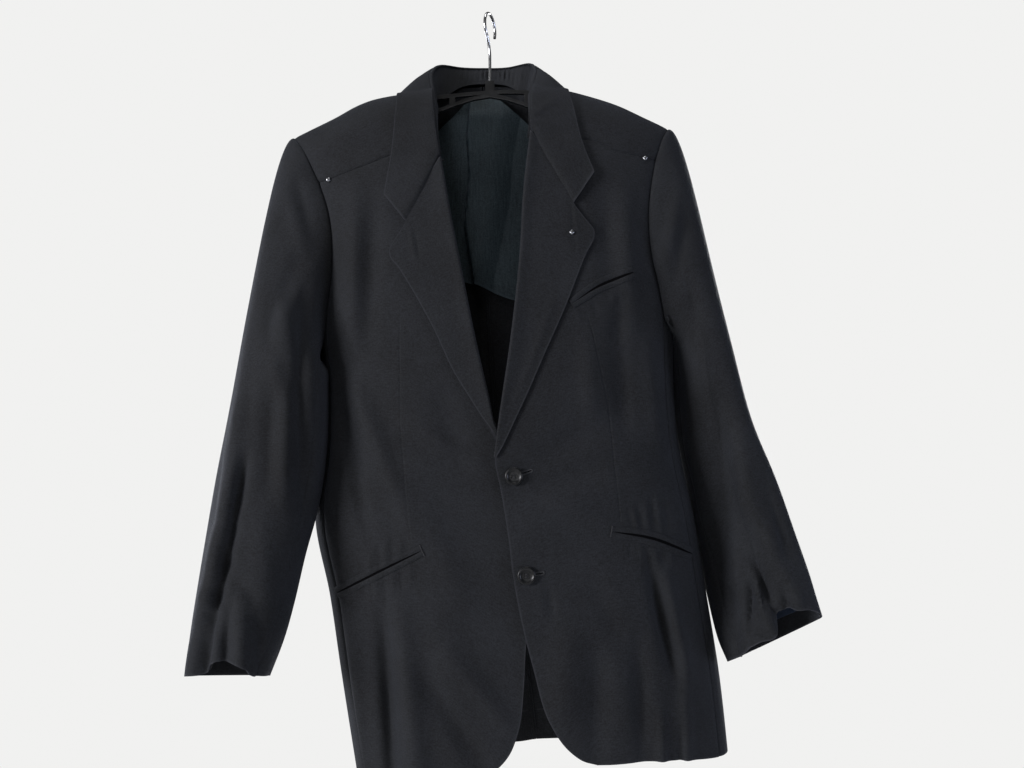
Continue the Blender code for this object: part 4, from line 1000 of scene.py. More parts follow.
SLEEVE_CREASES_BEHIND = folds(
    (245, -420, 262, -560, 10, 2.4), (262, -500, 300, -600, 9, -2.4), (285, -590, 315, -700, 10, 2.8),
    (-230, -420, -245, -560, 10, 2.4), (-260, -500, -240, -610, 9, -2.4),
    (-275, -600, -290, -760, 10, 2.8),
)
print("sleeve folds:", len(SLEEVE_CREASES_RIGHT), "and", len(SLEEVE_CREASES_LEFT))


# %% Sleeve form
def armhole_loop(side, round_angles):
    """Armhole seam in space: from the shoulder down the front, under, and up the back."""
    front_edge = side_edge(side, FRONT_SEAM_RATIO, side.front_foot, side.armhole_front[:5])[SEAM_POINTS - 1:]
    yoke_edge = curve(side.armhole_front[4:] + [shoulder_point(side)], np.linspace(0, 1, 21)).tolist()
    back_edge = back_outline(side)[0][SEAM_POINTS - 1:]
    down = on_surface(np.array(front_edge + yoke_edge[1:])[::-1], front_y)
    up = on_surface(np.array(back_edge), back_y)
    below = side_points(side, np.linspace(0, 1, 21), np.array([1.0]))[0]
    first = np.vstack([down, below[1:11]])
    second = np.vstack([below[10:-1], up])
    angles = np.asarray(round_angles) % 360.0
    in_front = curve(first, np.clip(angles / 180.0, 0, 1))
    behind = curve(second, np.clip(angles / 180.0 - 1, 0, 1))
    return np.where((angles <= 180.0)[:, None], in_front, behind)


def tube_points(rows, along, angles):
    """Inner points of the sleeve below the armhole, by rows and by angle round it."""
    row = smooth(np.linspace(0, 1, len(rows)), np.array(rows), along)
    inner, outer = row[:, None, 0:3], row[:, None, 3:6]
    half = (outer - inner) / 2
    half = half * (1 - CLOTH_WALL / np.linalg.norm(half, axis=2)[..., None])
    depth, lift = row[:, None, 6] - CLOTH_WALL, row[:, None, 7]
    turn = np.radians(angles)[None, :]
    power = 2 / SLEEVE_SQUARENESS
    out = np.sign(np.cos(turn)) * np.abs(np.cos(turn)) ** power
    fore = np.sign(np.sin(turn)) * np.abs(np.sin(turn)) ** power
    points = (inner + outer) / 2 + half * out[..., None]
    points[..., 1] -= depth * fore
    points[..., 2] += lift * fore
    return points


def sleeve_points(sleeve, angles, head_steps, tube_steps):
    """A whole sleeve: a head that leaves the armhole outwards, then the hanging tube."""
    side, rows, folds = sleeve.side, sleeve.rows, sleeve.folds
    angles = np.asarray(angles, dtype=float)
    wrapped = angles % 360.0
    start = armhole_loop(side, wrapped)
    under = (1 - np.cos(np.radians(wrapped))) / 2
    start[:, 0] += side.sign * (0.0002 + 0.0015 * under)
    first = tube_points(rows, np.array([0.0]), angles)[0]
    second = tube_points(rows, np.array([0.02]), angles)[0]
    chord = np.linalg.norm(first - start, axis=1)[:, None]
    down = (second - first) / np.linalg.norm(second - first, axis=1)[:, None]
    leave = np.stack([
        side.sign * (1 - 0.92 * under**2),
        -0.42 * np.sin(np.radians(wrapped)),
        -0.30 - 0.70 * under**2,
    ], axis=-1)
    leave = leave / np.linalg.norm(leave, axis=1)[:, None] * chord / (1 + chord / HEAD_REACH)
    t = np.linspace(0, 1, head_steps + 1)[:-1, None, None] ** 1.25
    head = (2 * t**3 - 3 * t**2 + 1) * start + (t**3 - 2 * t**2 + t) * leave
    head = head + (3 * t**2 - 2 * t**3) * first + (t**3 - t**2) * down * chord
    along = np.linspace(0, 1, tube_steps + 1)
    tube = tube_points(rows, along, angles)
    middle = tube_points(rows, along, np.array([0.0, 180.0])).mean(axis=1)[:, None, :]
    outwards = tube - middle
    outwards = outwards / np.linalg.norm(outwards, axis=2)[..., None]
    heights = fold_heights(
        [SleeveFold(f.along0 * 360, f.round0, f.along1 * 360, f.round1, f.width, f.height) for f in folds],
        along[:, None] * 360, wrapped[None, :])
    tube = tube + outwards * (heights * np.clip(along / 0.1, 0, 1)[:, None])[..., None]
    fore = np.clip(np.sin(np.radians(wrapped)), 0, 1) ** (2 / SLEEVE_SQUARENESS)
    cuff_angles, rise, cave = np.array(sleeve.cuff).T
    near_hem = np.clip((along - 0.66) / 0.34, 0, 1)[:, None] ** 2
    tube[..., 2] += near_hem * (np.interp(wrapped, cuff_angles, rise / 1000) - rows[-1].lift * fore)[None, :]
    tube[..., 1] += near_hem * np.interp(wrapped, cuff_angles, cave / 1000)[None, :]
    return np.concatenate([head, tube])[::-1]


def creased(points, in_front, behind):
    """Points moved out by the folds of the side that they face."""
    along, up = np.gradient(points, axis=1), np.gradient(points, axis=0)
    normal = np.cross(along, up)
    facing = normal[..., 1] / np.linalg.norm(normal, axis=2)
    x, z = points[..., 0], points[..., 2]
    heights = fold_heights(in_front, x, z) * np.clip(-facing * 1.6, 0, 1)
    heights = heights + fold_heights(behind, x, z) * np.clip(facing * 1.6, 0, 1)
    return moved_out(points, heights)


print("the sleeve's head bends over", HEAD_REACH * 1000, "mm")

# %% The four sleeve pieces
# The cuff's edge by the angle round the sleeve: how far it rises and caves in, in millimetres
CUFF_MINUS = [
    (0, 0, 0), (30, 4, 0), (60, 7.5, 0), (72, 11, 0), (80, 18.5, 0), (88, 22.5, 0), (98, 22.5, 0),
    (110, 19.5, 0), (120, 16, 0), (127, 13, 0), (131, 8, 0), (140, 4.5, 0), (160, 2, 0), (180, 0, 0),
    (360, 0, 0),
]
CUFF_PLUS = [
    (0, 0, 0), (20, 6, 0), (45, 17, 2), (64, 25, 6), (80, 32, 13), (89, 33, 20), (91, 31, 19),
    (93.5, 11.5, 2), (98, 9.5, 0), (112, 12.4, 0), (128, 10.7, 0), (136, 6.9, 0), (160, 3.7, 0),
    (180, 0, 0), (360, 0, 0),
]
Sleeve = namedtuple("Sleeve", "side rows folds creases cuff")
SLEEVES = (
    Sleeve(RIGHT, SLEEVE_MINUS, SLEEVE_FOLDS_MINUS, SLEEVE_CREASES_RIGHT, CUFF_MINUS),
    Sleeve(LEFT, SLEEVE_PLUS, SLEEVE_FOLDS_PLUS, SLEEVE_CREASES_LEFT, CUFF_PLUS),
)
TOP_SPREAD = FRONT_SLEEVE_SEAM + 360 - BACK_SLEEVE_SEAM - 0.24
UNDER_SPREAD = BACK_SLEEVE_SEAM - FRONT_SLEEVE_SEAM - 0.24
top = BACK_SLEEVE_SEAM - 360 + 0.12 + TOP_SPREAD * close_steps(84, 0.26, 0)
top = np.unique(np.concatenate([top, [89, 90, 91, 92, 93, 94, 95.5]]))
under = FRONT_SLEEVE_SEAM + 0.12 + UNDER_SPREAD * close_steps(30, 0.11, 0)
HEAD_STEPS, TUBE_STEPS = 56, 120


def sleeve_cloth(sleeve, angles):
    """Creased points of a sleeve between two angles, with its outside outwards on either arm."""
    points = sleeve_points(sleeve, angles, HEAD_STEPS, TUBE_STEPS)
    points = points[:, ::-1] if sleeve.side.sign == 1 else points
    return creased(points, sleeve.creases, SLEEVE_CREASES_BEHIND)


for sleeve in SLEEVES:
    side = sleeve.side
    for part, angles in (("topsleeve", top), ("undersleeve", under)):
        points = sleeve_cloth(sleeve, angles)
        cloth_piece(f"{part}_{side.word}_cloth", points, [f"{part}_{side.word}"], side=OUTWARDS,
                    seams=["near", "far", "high"], pressed=["low"], dip=0.0008)

# %% [markdown]
# ## Armhole allowances
#
# Inside, the seam between a sleeve and the body is kept flat by its allowance, a narrow strip all
# round. It also closes the point where three seams meet. In front and behind, it follows the body's
# own surface.

# %% Strips inside the armholes
STRIP_STEPS = np.array([0.0035, 0.0012, -0.001, -0.0035, -0.0065, -0.0090])
STRIP_DEPTH = 0.0036
BELOW_RIDGE = 0.004
for side in (RIGHT, LEFT):
    for word, surface, depth, angles in (
        ("front", front_y, 1, np.linspace(6, 172, 90)),
        ("back", back_y, -1, np.linspace(354, 190, 90)),
    ):
        seam = armhole_loop(side, angles)[:, [0, 2]]
        plan = seam[:, None, :] + (STRIP_STEPS * side.sign)[None, :, None] * np.array([1.0, 0.0])
        inner = np.minimum(plan[..., 0] * side.sign, seam[:, None, 0] * side.sign) * side.sign
        x, z = plan[..., 0], plan[..., 1]
        z = np.minimum(z, ridge(x) - BELOW_RIDGE)
        y = surface(inner, z) + depth * STRIP_DEPTH
        points = np.stack([x, y, z], axis=-1)
        cloth_piece(f"armhole_allowance_{word}_{side.word}", points, wall=THIN_WALL,
                    side=INWARDS if depth * side.sign < 0 else OUTWARDS)

# %% [markdown]
# ## Lapels and collar
#
# A lapel is the front's own edge, folded back along the roll. The fold is soft near the neck and
# pressed flatter towards the button. We bend the first columns of the grid round the roll, so that
# no raw edge shows. The collar leaf falls from its fold, and the stand inside it carries small
# ribs, where padding stitches draw its cloth together.

# %% Lapel sizes
LAPEL_EDGE_MINUS = places(
    (10.5, -521), (3.5, -508.5), (-3, -500), (-18.2, -476.6), (-36, -448), (-61, -395.5), (-98, -331),
    (-110.5, -311.5), (-110, -305),
)
LAPEL_ROLL_MINUS = places(
    (13, -518), (7.5, -505), (1, -477), (-14, -412), (-31, -328), (-41, -278), (-55, -200),
)
LAPEL_TOP_MINUS = places((-55, -200), (-74, -236.5), (-93, -274.5), (-102, -290.5), (-110, -305))
LAPEL_EDGE_PLUS = places(
    (10, -540), (15, -531.5), (30, -500), (45.4, -466.7), (62, -428), (85.5, -374.4), (109, -314),
    (119.5, -289), (119, -283.5),
)
LAPEL_ROLL_PLUS = places((9, -540), (12.8, -508), (26.3, -412), (36.9, -312), (41, -240), (49, -168))
LAPEL_TOP_PLUS = places((49, -168), (73, -211), (96.7, -252.6), (108, -268.5), (119, -283.5))
LAPEL_CREASES_LEFT = folds(
    (80, -350, 24, -500, 5, 1.2), (97, -245, 102, -312, 2.2, 0.8), (93, -245, 98, -308, 2.2, -0.8),
    (60, -240, 56, -420, 12, 1),
)
LAPEL_CREASES_RIGHT = folds(
    (-89, -280, -80, -325, 2.2, 0.9), (-84, -278, -75, -322, 2.2, -0.9), (-60, -240, -40, -430, 12, 1),
)
LAPEL_WALL = 0.0013
LAPEL_UNDER = 0.0016
LAPEL_REST = 0.0011
LAPEL_LENGTH = 0.35
ROLL_RADIUS = 0.0020
PRESSED_RADIUS = 0.0004
ROLL_SPREAD = 0.017
TUCK = 0.0050
# Share of the top edge, from the roll, that lies under the collar
GORGE_END = 0.74


def lifted(plan, surface, lift):
    """Points over the coat for a grid in x and z, at any height along the surface's normals."""
    x, z = plan[..., 0], plan[..., 1]
    step = 0.0012
    slope_x = (surface(x + step, z) - surface(x - step, z)) / (2 * step)
    slope_z = (surface(x, z + step) - surface(x, z - step)) / (2 * step)
    normal = np.stack([slope_x, -np.ones_like(x), slope_z], axis=-1)
    normal = normal / np.linalg.norm(normal, axis=-1)[..., None]
    return on_surface(plan, surface) + normal * np.broadcast_to(lift, x.shape)[..., None]


def tucked(top):
    """The lapel's top edge moved up under the collar, from the roll nearly to the notch."""
    points = curve(top, np.linspace(0, 1, 60))
    way = np.gradient(points, axis=0)
    out = np.stack([way[:, 1], -way[:, 0]], axis=-1) / np.linalg.norm(way, axis=1)[:, None]
    out = out * np.sign(out[:, 1:2])
    share = np.clip((GORGE_END - np.linspace(0, 1, 60)) / 0.08, 0, 1)
    return (points + out * (TUCK * share)[:, None]).tolist()


def lapel_points(edge, roll, top, surface, creases):
    """A lapel: from under its roll, round the soft fold, and out over the front to its edge."""
    v = close_steps(130, LAPEL_LENGTH, 0)
    fine = np.linspace(0, 1, 240)
    plan = patch([roll[0], edge[0]], tucked(top), roll, edge, fine, v)
    turn = np.radians(np.linspace(-90, -270, 15))
    outwards = np.concatenate([np.linspace(0.02, 0.94, 36), np.linspace(0.95, 1, 7)])
    result = []
    for row, height in zip(plan, v):
        run = np.concatenate([[0.0], np.cumsum(np.linalg.norm(np.diff(row, axis=0), axis=1))])
        width = run[-1]
        grown = np.clip(height / 0.35, 0, 1)
        at_top = np.clip((height - 0.93) / 0.07, 0, 1)
        radius = PRESSED_RADIUS + (ROLL_RADIUS - PRESSED_RADIUS) * grown * (2 - grown) * (1 - 0.35 * at_top)
        radius = min(radius, 0.22 * width)
        under = LAPEL_UNDER * min(1.0, 0.25 + 3 * height)
        away = np.concatenate([
            radius + np.array([0.008, 0.004, 0.0015]) * min(1.0, 8 * height + 0.02),
            radius + radius * np.cos(turn) - PRESSED_RADIUS,
            radius - PRESSED_RADIUS + (width - radius + PRESSED_RADIUS) * outwards,
        ])
        over = away[18:] - radius + PRESSED_RADIUS
        fall = np.exp(-(over / (ROLL_SPREAD * min(1.0, 0.3 + 2 * height))) ** 1.5)
        lift = np.concatenate([
            np.full(3, under), under + radius + radius * np.sin(turn),
            LAPEL_REST + (under + 2 * radius - LAPEL_REST) * fall,
        ])
        x = np.interp(away, run, row[:, 0])
        z = np.interp(away, run, row[:, 1])
        back = np.clip(away, None, 0)
        start = (row[1] - row[0]) / np.linalg.norm(row[1] - row[0])
        line = np.stack([x + start[0] * back, z + start[1] * back], axis=-1)
        lift = lift + fold_heights(creases, line[:, 0], line[:, 1]) * (np.arange(len(away)) > 17)
        result.append(lifted(line, surface, lift))
    return np.array(result)


print("lapels roll over a radius of", ROLL_RADIUS * 1000, "mm")

# %% The lapels
for name, edge, roll, top, surface, creases in (
    ("lapel_right", LAPEL_EDGE_MINUS, LAPEL_ROLL_MINUS, LAPEL_TOP_MINUS, front_y, LAPEL_CREASES_RIGHT),
    ("lapel_left", LAPEL_EDGE_PLUS, LAPEL_ROLL_PLUS, LAPEL_TOP_PLUS, front_left_y, LAPEL_CREASES_LEFT),
):
    points = lapel_points(edge, roll, top, surface, creases)
    cloth_piece(f"{name}_cloth", points, [name], LAPEL_WALL, OUTWARDS, pressed=["far", "high"],
                flip=name == "lapel_right")

# %% Collar sizes
LEAF_LIFT = 0.0045
STAND_WALL = 0.0011
# Rows at each end of the collar that the stand leaves out
END_ROWS = 12
# Millimetres: x, y and z of the fold, of the leaf's edge, and of the stand's base
COLLAR = np.array([
    (-56, -58, -199, -93.8, -68, -273.5, -53, -50, -190),
    (-59, -56, -183, -118, -66, -243, -54, -48, -185),
    (-63.5, -50, -150, -110.5, -58, -190, -58.5, -40, -160),
    (-67.5, -34, -112, -107.5, -46, -138, -62, -24, -128),
    (-72, 0, -72.5, -107, 0, -100.5, -65.5, 0, -104),
    (-63, 30, -51.5, -88, 43, -106, -56, 22, -92),
    (-38, 47, -47.5, -50, 53, -101, -36, 34, -75),
    (-8, 51, -47, -8, 56, -99, -8, 38, -70.5),
    (22, 47, -47.5, 34, 53, -99.5, 21, 34, -73.5),
    (49, 30, -49.5, 73, 43, -103, 43, 22, -90),
    (56, 0, -69, 90, 0, -96, 49.5, 0, -99),
    (52, -34, -102, 96, -44, -126, 46.5, -24, -115),
    (50, -50, -133, 107.5, -58, -180, 44, -40, -140),
    (49, -54, -153, 120.5, -66, -216.5, 42, -46, -160),
    (49.8, -56, -166.5, 97.6, -68, -251.5, 41.5, -48, -168),
]) / 1000
COLLAR_FOLD = 0.0012
RIB_HEIGHT = 0.0024
RIB_SPACING = 0.0066
RIBBED_HALF = 0.055
STAND_INSET = 0.0023
STAND_DROP = 0.0004
COLLAR_CREASES = folds(
    (48, -150, 84, -124, 4.5, 1.2), (60, -175, 100, -168, 8, -1), (-80, -142, -60, -151, 4.5, 1),
    (-104, -190, -70, -205, 8, -1),
)


def collar_rows(count):
    """The collar's table read closely: straight to each tip, smooth between them."""
    inner = curve(COLLAR[1:-1], np.linspace(0, 1, count))
    first = np.linspace(COLLAR[0], COLLAR[1], 14)[:-1]
    last = np.linspace(COLLAR[-2], COLLAR[-1], 14)[1:]
    return np.vstack([first, inner, last])


print("collar rows:", len(COLLAR))


# %% The collar leaf and the stand
rows = collar_rows(190)[::-1]
fold, edge, base = rows[:, 0:3], rows[:, 3:6], rows[:, 6:9]
facing = edge - fold
facing[:, 2] = 0
facing = facing / np.linalg.norm(facing, axis=1)[:, None]


def collar_leaf(fold, edge, facing):
    """Points of the leaf: over its fold, round its belly and down to rest on the coat."""
    u = (np.linspace(0, 1, 40) ** 1.25)[None, :, None]
    leaf = fold[:, None, :] * (1 - u) + edge[:, None, :] * u
    from_end = np.minimum(np.arange(len(fold)), np.arange(len(fold))[::-1])[:, None]
    belly = LEAF_LIFT * np.sin(np.pi * u**0.6) * np.clip(from_end / 40, 0, 1)[..., None]
    leaf = leaf + facing[:, None, :] * belly + np.array([0, 0, 0.5]) * belly
    x, z = leaf[..., 0], leaf[..., 2]
    rest = 0.0034 + 0.0028 * (1 - u[..., 0]) * np.clip(0.35 + from_end / 14, 0, 1)
    in_front = leaf[..., 1] < -0.002
    on_front = np.where(in_front & (z < ridge(x)), front_y(x, z) - rest, 1.0)
    leaf[..., 1] = np.minimum(leaf[..., 1], np.where(on_front < 1.0, on_front, leaf[..., 1]))
    on_back = np.where(~in_front & (leaf[..., 1] > 0.002), back_y(x, z) + rest, -1.0)
    leaf[..., 1] = np.maximum(leaf[..., 1], on_back)
    over = [
        fold - facing * COLLAR_FOLD * (1 - math.cos(turn)) + np.array([0, 0, COLLAR_FOLD]) * math.sin(turn)
        for turn in np.radians([175, 140, 105, 70, 35])
    ]
    return np.concatenate([np.stack(over, axis=1), leaf], axis=1)


points = collar_leaf(fold, edge, facing)
lift = fold_heights(COLLAR_CREASES, points[..., 0], points[..., 2]) * (points[..., 1] < 0)
points = moved_out(points, lift)
cloth_piece("collar_cloth", points, ["collar"], LAPEL_WALL, OUTWARDS, seams=["low", "high"], pressed=["far"],
            dip=0.0016)

run = np.concatenate([[0.0], np.cumsum(np.linalg.norm(np.diff(fold, axis=0), axis=1))])
middle = np.interp(0.008, fold[::-1, 0][60:140], run[::-1][60:140])
from_end = np.minimum(np.arange(len(fold)), np.arange(len(fold))[::-1])[:, None, None]
u = np.linspace(0, 1, 22)[None, :, None]
deep = u * np.clip((from_end - END_ROWS) / 40, 0.02, 1)
stand = fold[:, None, :] * (1 - deep) + base[:, None, :] * deep - facing[:, None, :] * STAND_INSET
stand[..., 2] -= STAND_DROP
ribs = 0.5 + 0.5 * np.sin(2 * math.pi * (run - middle) / RIB_SPACING + 1.1 * np.sin(run * 95))
uneven = (0.7 + 0.3 * np.sin(run * 210)) * np.exp(-((run - middle) / RIBBED_HALF) ** 4)
ribs = RIB_HEIGHT * (ribs * uneven)[:, None]
ribs = ribs * np.sin(np.pi * np.clip(u[..., 0] * 1.1 + 0.05, 0, 1)) ** 0.6
stand = moved_out(stand[:, ::-1], ribs[:, ::-1])[:, ::-1]
cloth_piece("collar_stand_cloth", stand[END_ROWS:-END_ROWS], ["collar_stand"], STAND_WALL, flip=True)

# %% [markdown]
# ## Half lining
#
# Through the open neck the back's half lining shows. It is satin, with a pleat down the middle that
# gives room across the shoulders, and its hem hangs free over the cloth of the back.

# %% The back lining
PLEAT_LEFT = places(
    (-15, -370), (-21.2, -322.8), (-32, -252.3), (-26.7, -188.8), (-29.4, -140), (-25.8, -80),
)
PLEAT_RIGHT = places((-14, -370), (-13.8, -319), (-5.3, -275), (5.8, -223.1), (9.5, -167), (25, -80))
PLEAT_HEIGHT = 0.0095
PLEAT_EDGE = 0.0016
PLEAT_SLOPE = 0.026
PLEAT_TOP = -0.085
LINING_GAP = 0.0033
LINING_FOLDS = folds(
    (-80, -150, -50, -330, 9, 1.4), (50, -140, 60, -350, 10, 1.6), (32, -200, 40, -360, 6, -1),
)

left = places((-165, -300), (-158, -230), (-140, -165))
right = places((165, -345), (158, -250), (140, -170))
bottom = [left[0], *places((-60, -315), (-21, -325), (28, -344), (100, -350)), right[0]]
top = [left[-1], *places((-100, -160), (-52, -118), (-10, -83), (32, -110), (85, -155)), right[-1]]
plan = patch(bottom, top, left, right, np.linspace(0, 1, 230), np.linspace(0, 1, 60))
points = on_surface(plan, back_y)
x, z = plan[..., 0], plan[..., 1]
from_left = x - np.interp(z, *np.array(PLEAT_LEFT).T[::-1])
from_right = x - np.interp(z, *np.array(PLEAT_RIGHT).T[::-1])
pleat = np.clip(from_left / PLEAT_EDGE, 0, 1) * (1 - np.clip((from_right + 0.008) / PLEAT_SLOPE, 0, 1) ** 1.5)
pleat = PLEAT_HEIGHT * pleat * np.clip((PLEAT_TOP - z) / 0.03, 0, 1)
sag = fold_heights(LINING_FOLDS, x, z)
clear = LINING_GAP + 0.0020 * np.clip((z + 0.20) / 0.06, 0, 1)
points = moved_out(points, clear + pleat + sag)
cloth_piece("back_lining_satin", points, ["back_lining"], THIN_WALL, OUTWARDS, satin, pressed=["low"])

# %% [markdown]
# ## Hem turnings and cuff linings
#
# The coat's bottom is turned up inside by about four centimetres, which shows behind the parted
# fronts. Each cuff is turned up too, and its sleeve lining starts a finger's breadth above the fold.
# All are strips of the same form, moved inwards past the cloth.

# %% Hem turnings
TURNING = 0.036
for side in (RIGHT, LEFT):
    low = curve(back_outline(side)[1], close_steps(64, BACK_WIDTH))
    upper = low + [0, TURNING]
    ends = np.array([upper[:, 0].min(), upper[:, 0].max()])
    upper[:, 0] = np.interp(upper[:, 0], ends, ends + [0.001, -0.003])
    rise = np.linspace(0.02, 1, 20)[:, None, None]
    plan = low * (1 - rise) + upper * rise
    points = on_surface(plan, back_y)
    points = points[:, ::-1] if side.sign == -1 else points
    points = moved_out(points, -(SUITING_WALL + TURNING_GAP))
    cloth_piece(f"hem_turning_{side.word}", points, wall=TURNING_WALL, pressed=["high"])

# %% Cuff turnings and linings
LINING_WALL = 0.0007
TURNING_INSET = 0.0009
LINING_INSET = 0.0020
angles = np.linspace(BACK_SLEEVE_SEAM - 360, BACK_SLEEVE_SEAM - 0.5, 110)
angles = np.unique(np.concatenate([angles, [90, 92, 94]]))
for sleeve in SLEEVES:
    side = sleeve.side
    points = sleeve_cloth(sleeve, angles)
    turning = moved_out(points, -TURNING_INSET)[1:18]
    cloth_piece(f"cuff_turning_{side.word}", turning, wall=TURNING_WALL, pressed=["high"])
    lining = moved_out(points, -LINING_INSET)[15:52]
    cloth_piece(f"cuff_lining_{side.word}", lining, wall=LINING_WALL, cloth=cuff_satin, pressed=["low"])

# %% [markdown]
# ## Pockets
#
# A jetted pocket is a slit between two narrow folded strips. Each jet is a strip with a rounded
# section that is laid on the front, and a strip of pocketing, made near black as painted shade, closes the
# mouth between them.
# The two jets part most in the middle, so the mouth gapes a little.

# %% Pocket sizes
JET_WIDTH = 0.0055
JET_WALL = 0.0007
MOUTH_WALL = 0.0002
MOUTH_WIDTH = 0.0052
MOUTH_LIFT = 0.0004
JET_SINK = 0.0002
POCKET_MINUS = places((-168, -690), (-124.7, -667.3), (-70, -640))
POCKET_PLUS = places((135, -620), (180.9, -628.4), (228, -647))
POCKET_BREAST = places((93, -370), (124.4, -348.6), (164, -332))
JET_ROLL = 0.0006
GAPES = {"pocket_right": (0.0014, 0.8), "pocket_left": (0.0017, 1.2), "pocket_breast": (0.0017, 1.9)}


def along_line(line, surface, shifts, rows, lift):
    """Grid of points beside a line on the coat: one column for each shift to its left."""
    shifts = np.reshape(shifts, (len(shifts), -1))
    middle = curve(line, rows)
    way = np.gradient(middle, axis=0)
    way = np.stack([-way[:, 1], way[:, 0]], axis=-1) / np.linalg.norm(way, axis=1)[:, None]
    plan = middle[None, :, :] + way[None, :, :] * shifts[..., None]
    return lifted(plan, surface, np.asarray(lift)[:, None])


print("a jet is", JET_WIDTH * 1000, "mm wide")

# %% Jets and mouths
for name, line, surface, front in (
    ("pocket_right", POCKET_MINUS, front_y, "front_right_cloth"),
    ("pocket_left", POCKET_PLUS, front_left_y, "front_left_cloth"),
    ("pocket_breast", POCKET_BREAST, front_left_y, "front_left_cloth"),
):
    rows = np.linspace(0, 1, 90)
    section = np.linspace(0, 1, 14)
    roll = JET_ROLL * np.sqrt(np.clip(1 - (2 * section - 1) ** 2, 0, 1)) - JET_SINK
    width, lean = GAPES[name]
    gape = width * np.sin(np.pi * rows**lean)[None, :] ** 0.5
    across = JET_WIDTH * section[:, None]
    for word, shifts in (("upper", gape + across), ("lower", -gape - JET_WIDTH + across)):
        points = along_line(line, surface, shifts, rows, roll)
        cloth_piece(f"{name}_{word}_jet", points, [f"{name}_{word}"], JET_WALL, OUTWARDS)
    # Painted shade: a near-black strip laid just over the front, for the shadow inside the pocket mouth
    across = np.linspace(-MOUTH_WIDTH / 2, MOUTH_WIDTH / 2, 5)
    points = along_line(line, surface, across, np.linspace(0.01, 0.99, 60), [MOUTH_LIFT] * len(across))
    cloth_piece(f"{name}_mouth", points, (), MOUTH_WALL, OUTWARDS, painted_shade_black)

# %% [markdown]
# ## Buttons, studs and their thread
#
# The buttons are turned from horn-like plastic: a disc with a raised rim and a dished middle with
# four holes. We start from a circle and draw it up ring by ring, as on a lathe. The studs are small
# chromed domes with a narrow foot.

# %% Plastic, chrome and thread
BUTTON_RADIUS = 0.0097
BUTTON_THICKNESS = 0.0034
BUTTON_HOLE_RADIUS = 0.0010
BUTTON_HOLE_SPACING = 0.0020
STUD_RADIUS = 0.0026
STUD_HEIGHT = 0.0017
BUTTONS = {"button_top": (0.0290, -0.5605), "button_bottom": (0.0425, -0.6660)}
YOKE_STUDS = {"stud_yoke_right": (-0.1850, -0.2205), "stud_yoke_left": (0.1810, -0.1940)}
LAPEL_STUD = (0.0940, -0.2880)


def grained(name, dark, light, roughness, size_mm, metallic=0.0, gloss=0.5):
    """A smooth hard material with a cloudy colour and fine wear."""
    material, shader = new_material(name)
    place = add_node(material, "ShaderNodeTexCoord")
    clouds = add_node(material, "ShaderNodeTexNoise",
                      {"Scale": noise_per_metre(size_mm), "Detail": 4.0, "Distortion": 1.2})
    wear = add_node(material, "ShaderNodeTexNoise", {"Scale": noise_per_metre(size_mm / 7), "Detail": 5.0})
    for node in (clouds, wear):
        link(material, place, "Object", node, "Vector")
    spread = add_node(material, "ShaderNodeMapRange", {"From Min": 0.35, "From Max": 0.65})
    link(material, clouds, "Fac", spread, "Value")
    tone = add_node(material, "ShaderNodeMix", data_type="RGBA")
    tone.inputs["A"].default_value = colour(dark)
    tone.inputs["B"].default_value = colour(light)
    link(material, spread, "Result", tone, "Factor")
    link(material, tone, "Result", shader, "Base Color")
    rough = add_node(material, "ShaderNodeMapRange", {"To Min": roughness * 0.75, "To Max": roughness * 1.35})
    link(material, wear, "Fac", rough, "Value")
    link(material, rough, "Result", shader, "Roughness")
    relief = add_node(material, "ShaderNodeBump", {"Strength": 0.4, "Distance": 0.00003})
    link(material, wear, "Fac", relief, "Height")
    link(material, relief, "Normal", shader, "Normal")
    shader.inputs["Metallic"].default_value = metallic
    shader.inputs["Specular IOR Level"].default_value = gloss
    return material


# Polished black horn-effect polyester
horn = grained("button_horn", "#050506", "#0d0e0f", 0.36, 9, gloss=0.30)
# Bright chrome plate
chrome = grained("stud_chrome", "#7c7d80", "#a0a1a4", 0.30, 3, metallic=1.0)
# Drawn and plated steel wire
steel = grained("hook_steel", "#b9babc", "#d2d3d5", 0.20, 6, metallic=1.0)
# Injection moulded polypropylene, near black
plastic = grained("hanger_plastic", "#070708", "#101113", 0.38, 14)
# Dark polyester sewing thread
thread = grained("sewing_thread", "#17181b", "#26272b", 0.55, 1.2)
print("hard materials:", horn.name, chrome.name, steel.name, plastic.name, thread.name)


# %% Turning on the lathe
def turned(name, profile, sides):
    """A turned shape that starts from a circle and is drawn out ring by ring."""
    bpy.ops.object.select_all(action="DESELECT")
    bpy.ops.mesh.primitive_circle_add(vertices=sides, radius=profile[0][0], fill_type="NGON")
    piece = bpy.context.active_object
    piece.name = name
    bpy.ops.object.mode_set(mode="EDIT")
    bpy.ops.mesh.select_mode(type="FACE")
    bpy.ops.mesh.select_all(action="SELECT")
    bpy.ops.mesh.flip_normals()
    for (r0, h0), (r1, h1) in zip(profile, profile[1:]):
        bpy.ops.mesh.extrude_region_move(TRANSFORM_OT_translate={"value": (0, 0, h1 - h0)})
        bpy.ops.transform.resize(value=(r1 / r0, r1 / r0, 1), center_override=(0, 0, h1))
    bpy.ops.mesh.select_all(action="SELECT")
    bpy.ops.mesh.normals_make_consistent(inside=False)
    bpy.ops.object.mode_set(mode="OBJECT")
    return piece


def settle(piece, place, material, nodes=()):
    """Put a finished hard piece in its place, in its mesh, and hide the nodes that it stands for."""
    only(piece)
    piece.rotation_euler = (math.radians(90), 0, 0)
    piece.location = place
    bpy.ops.object.transform_apply(location=True, rotation=True, scale=True)
    bpy.ops.object.shade_smooth_by_angle(angle=math.radians(40))
    finished(piece, material, nodes)
    print(piece.name, "at", [round(v, 3) for v in place], len(piece.data.polygons), "faces")


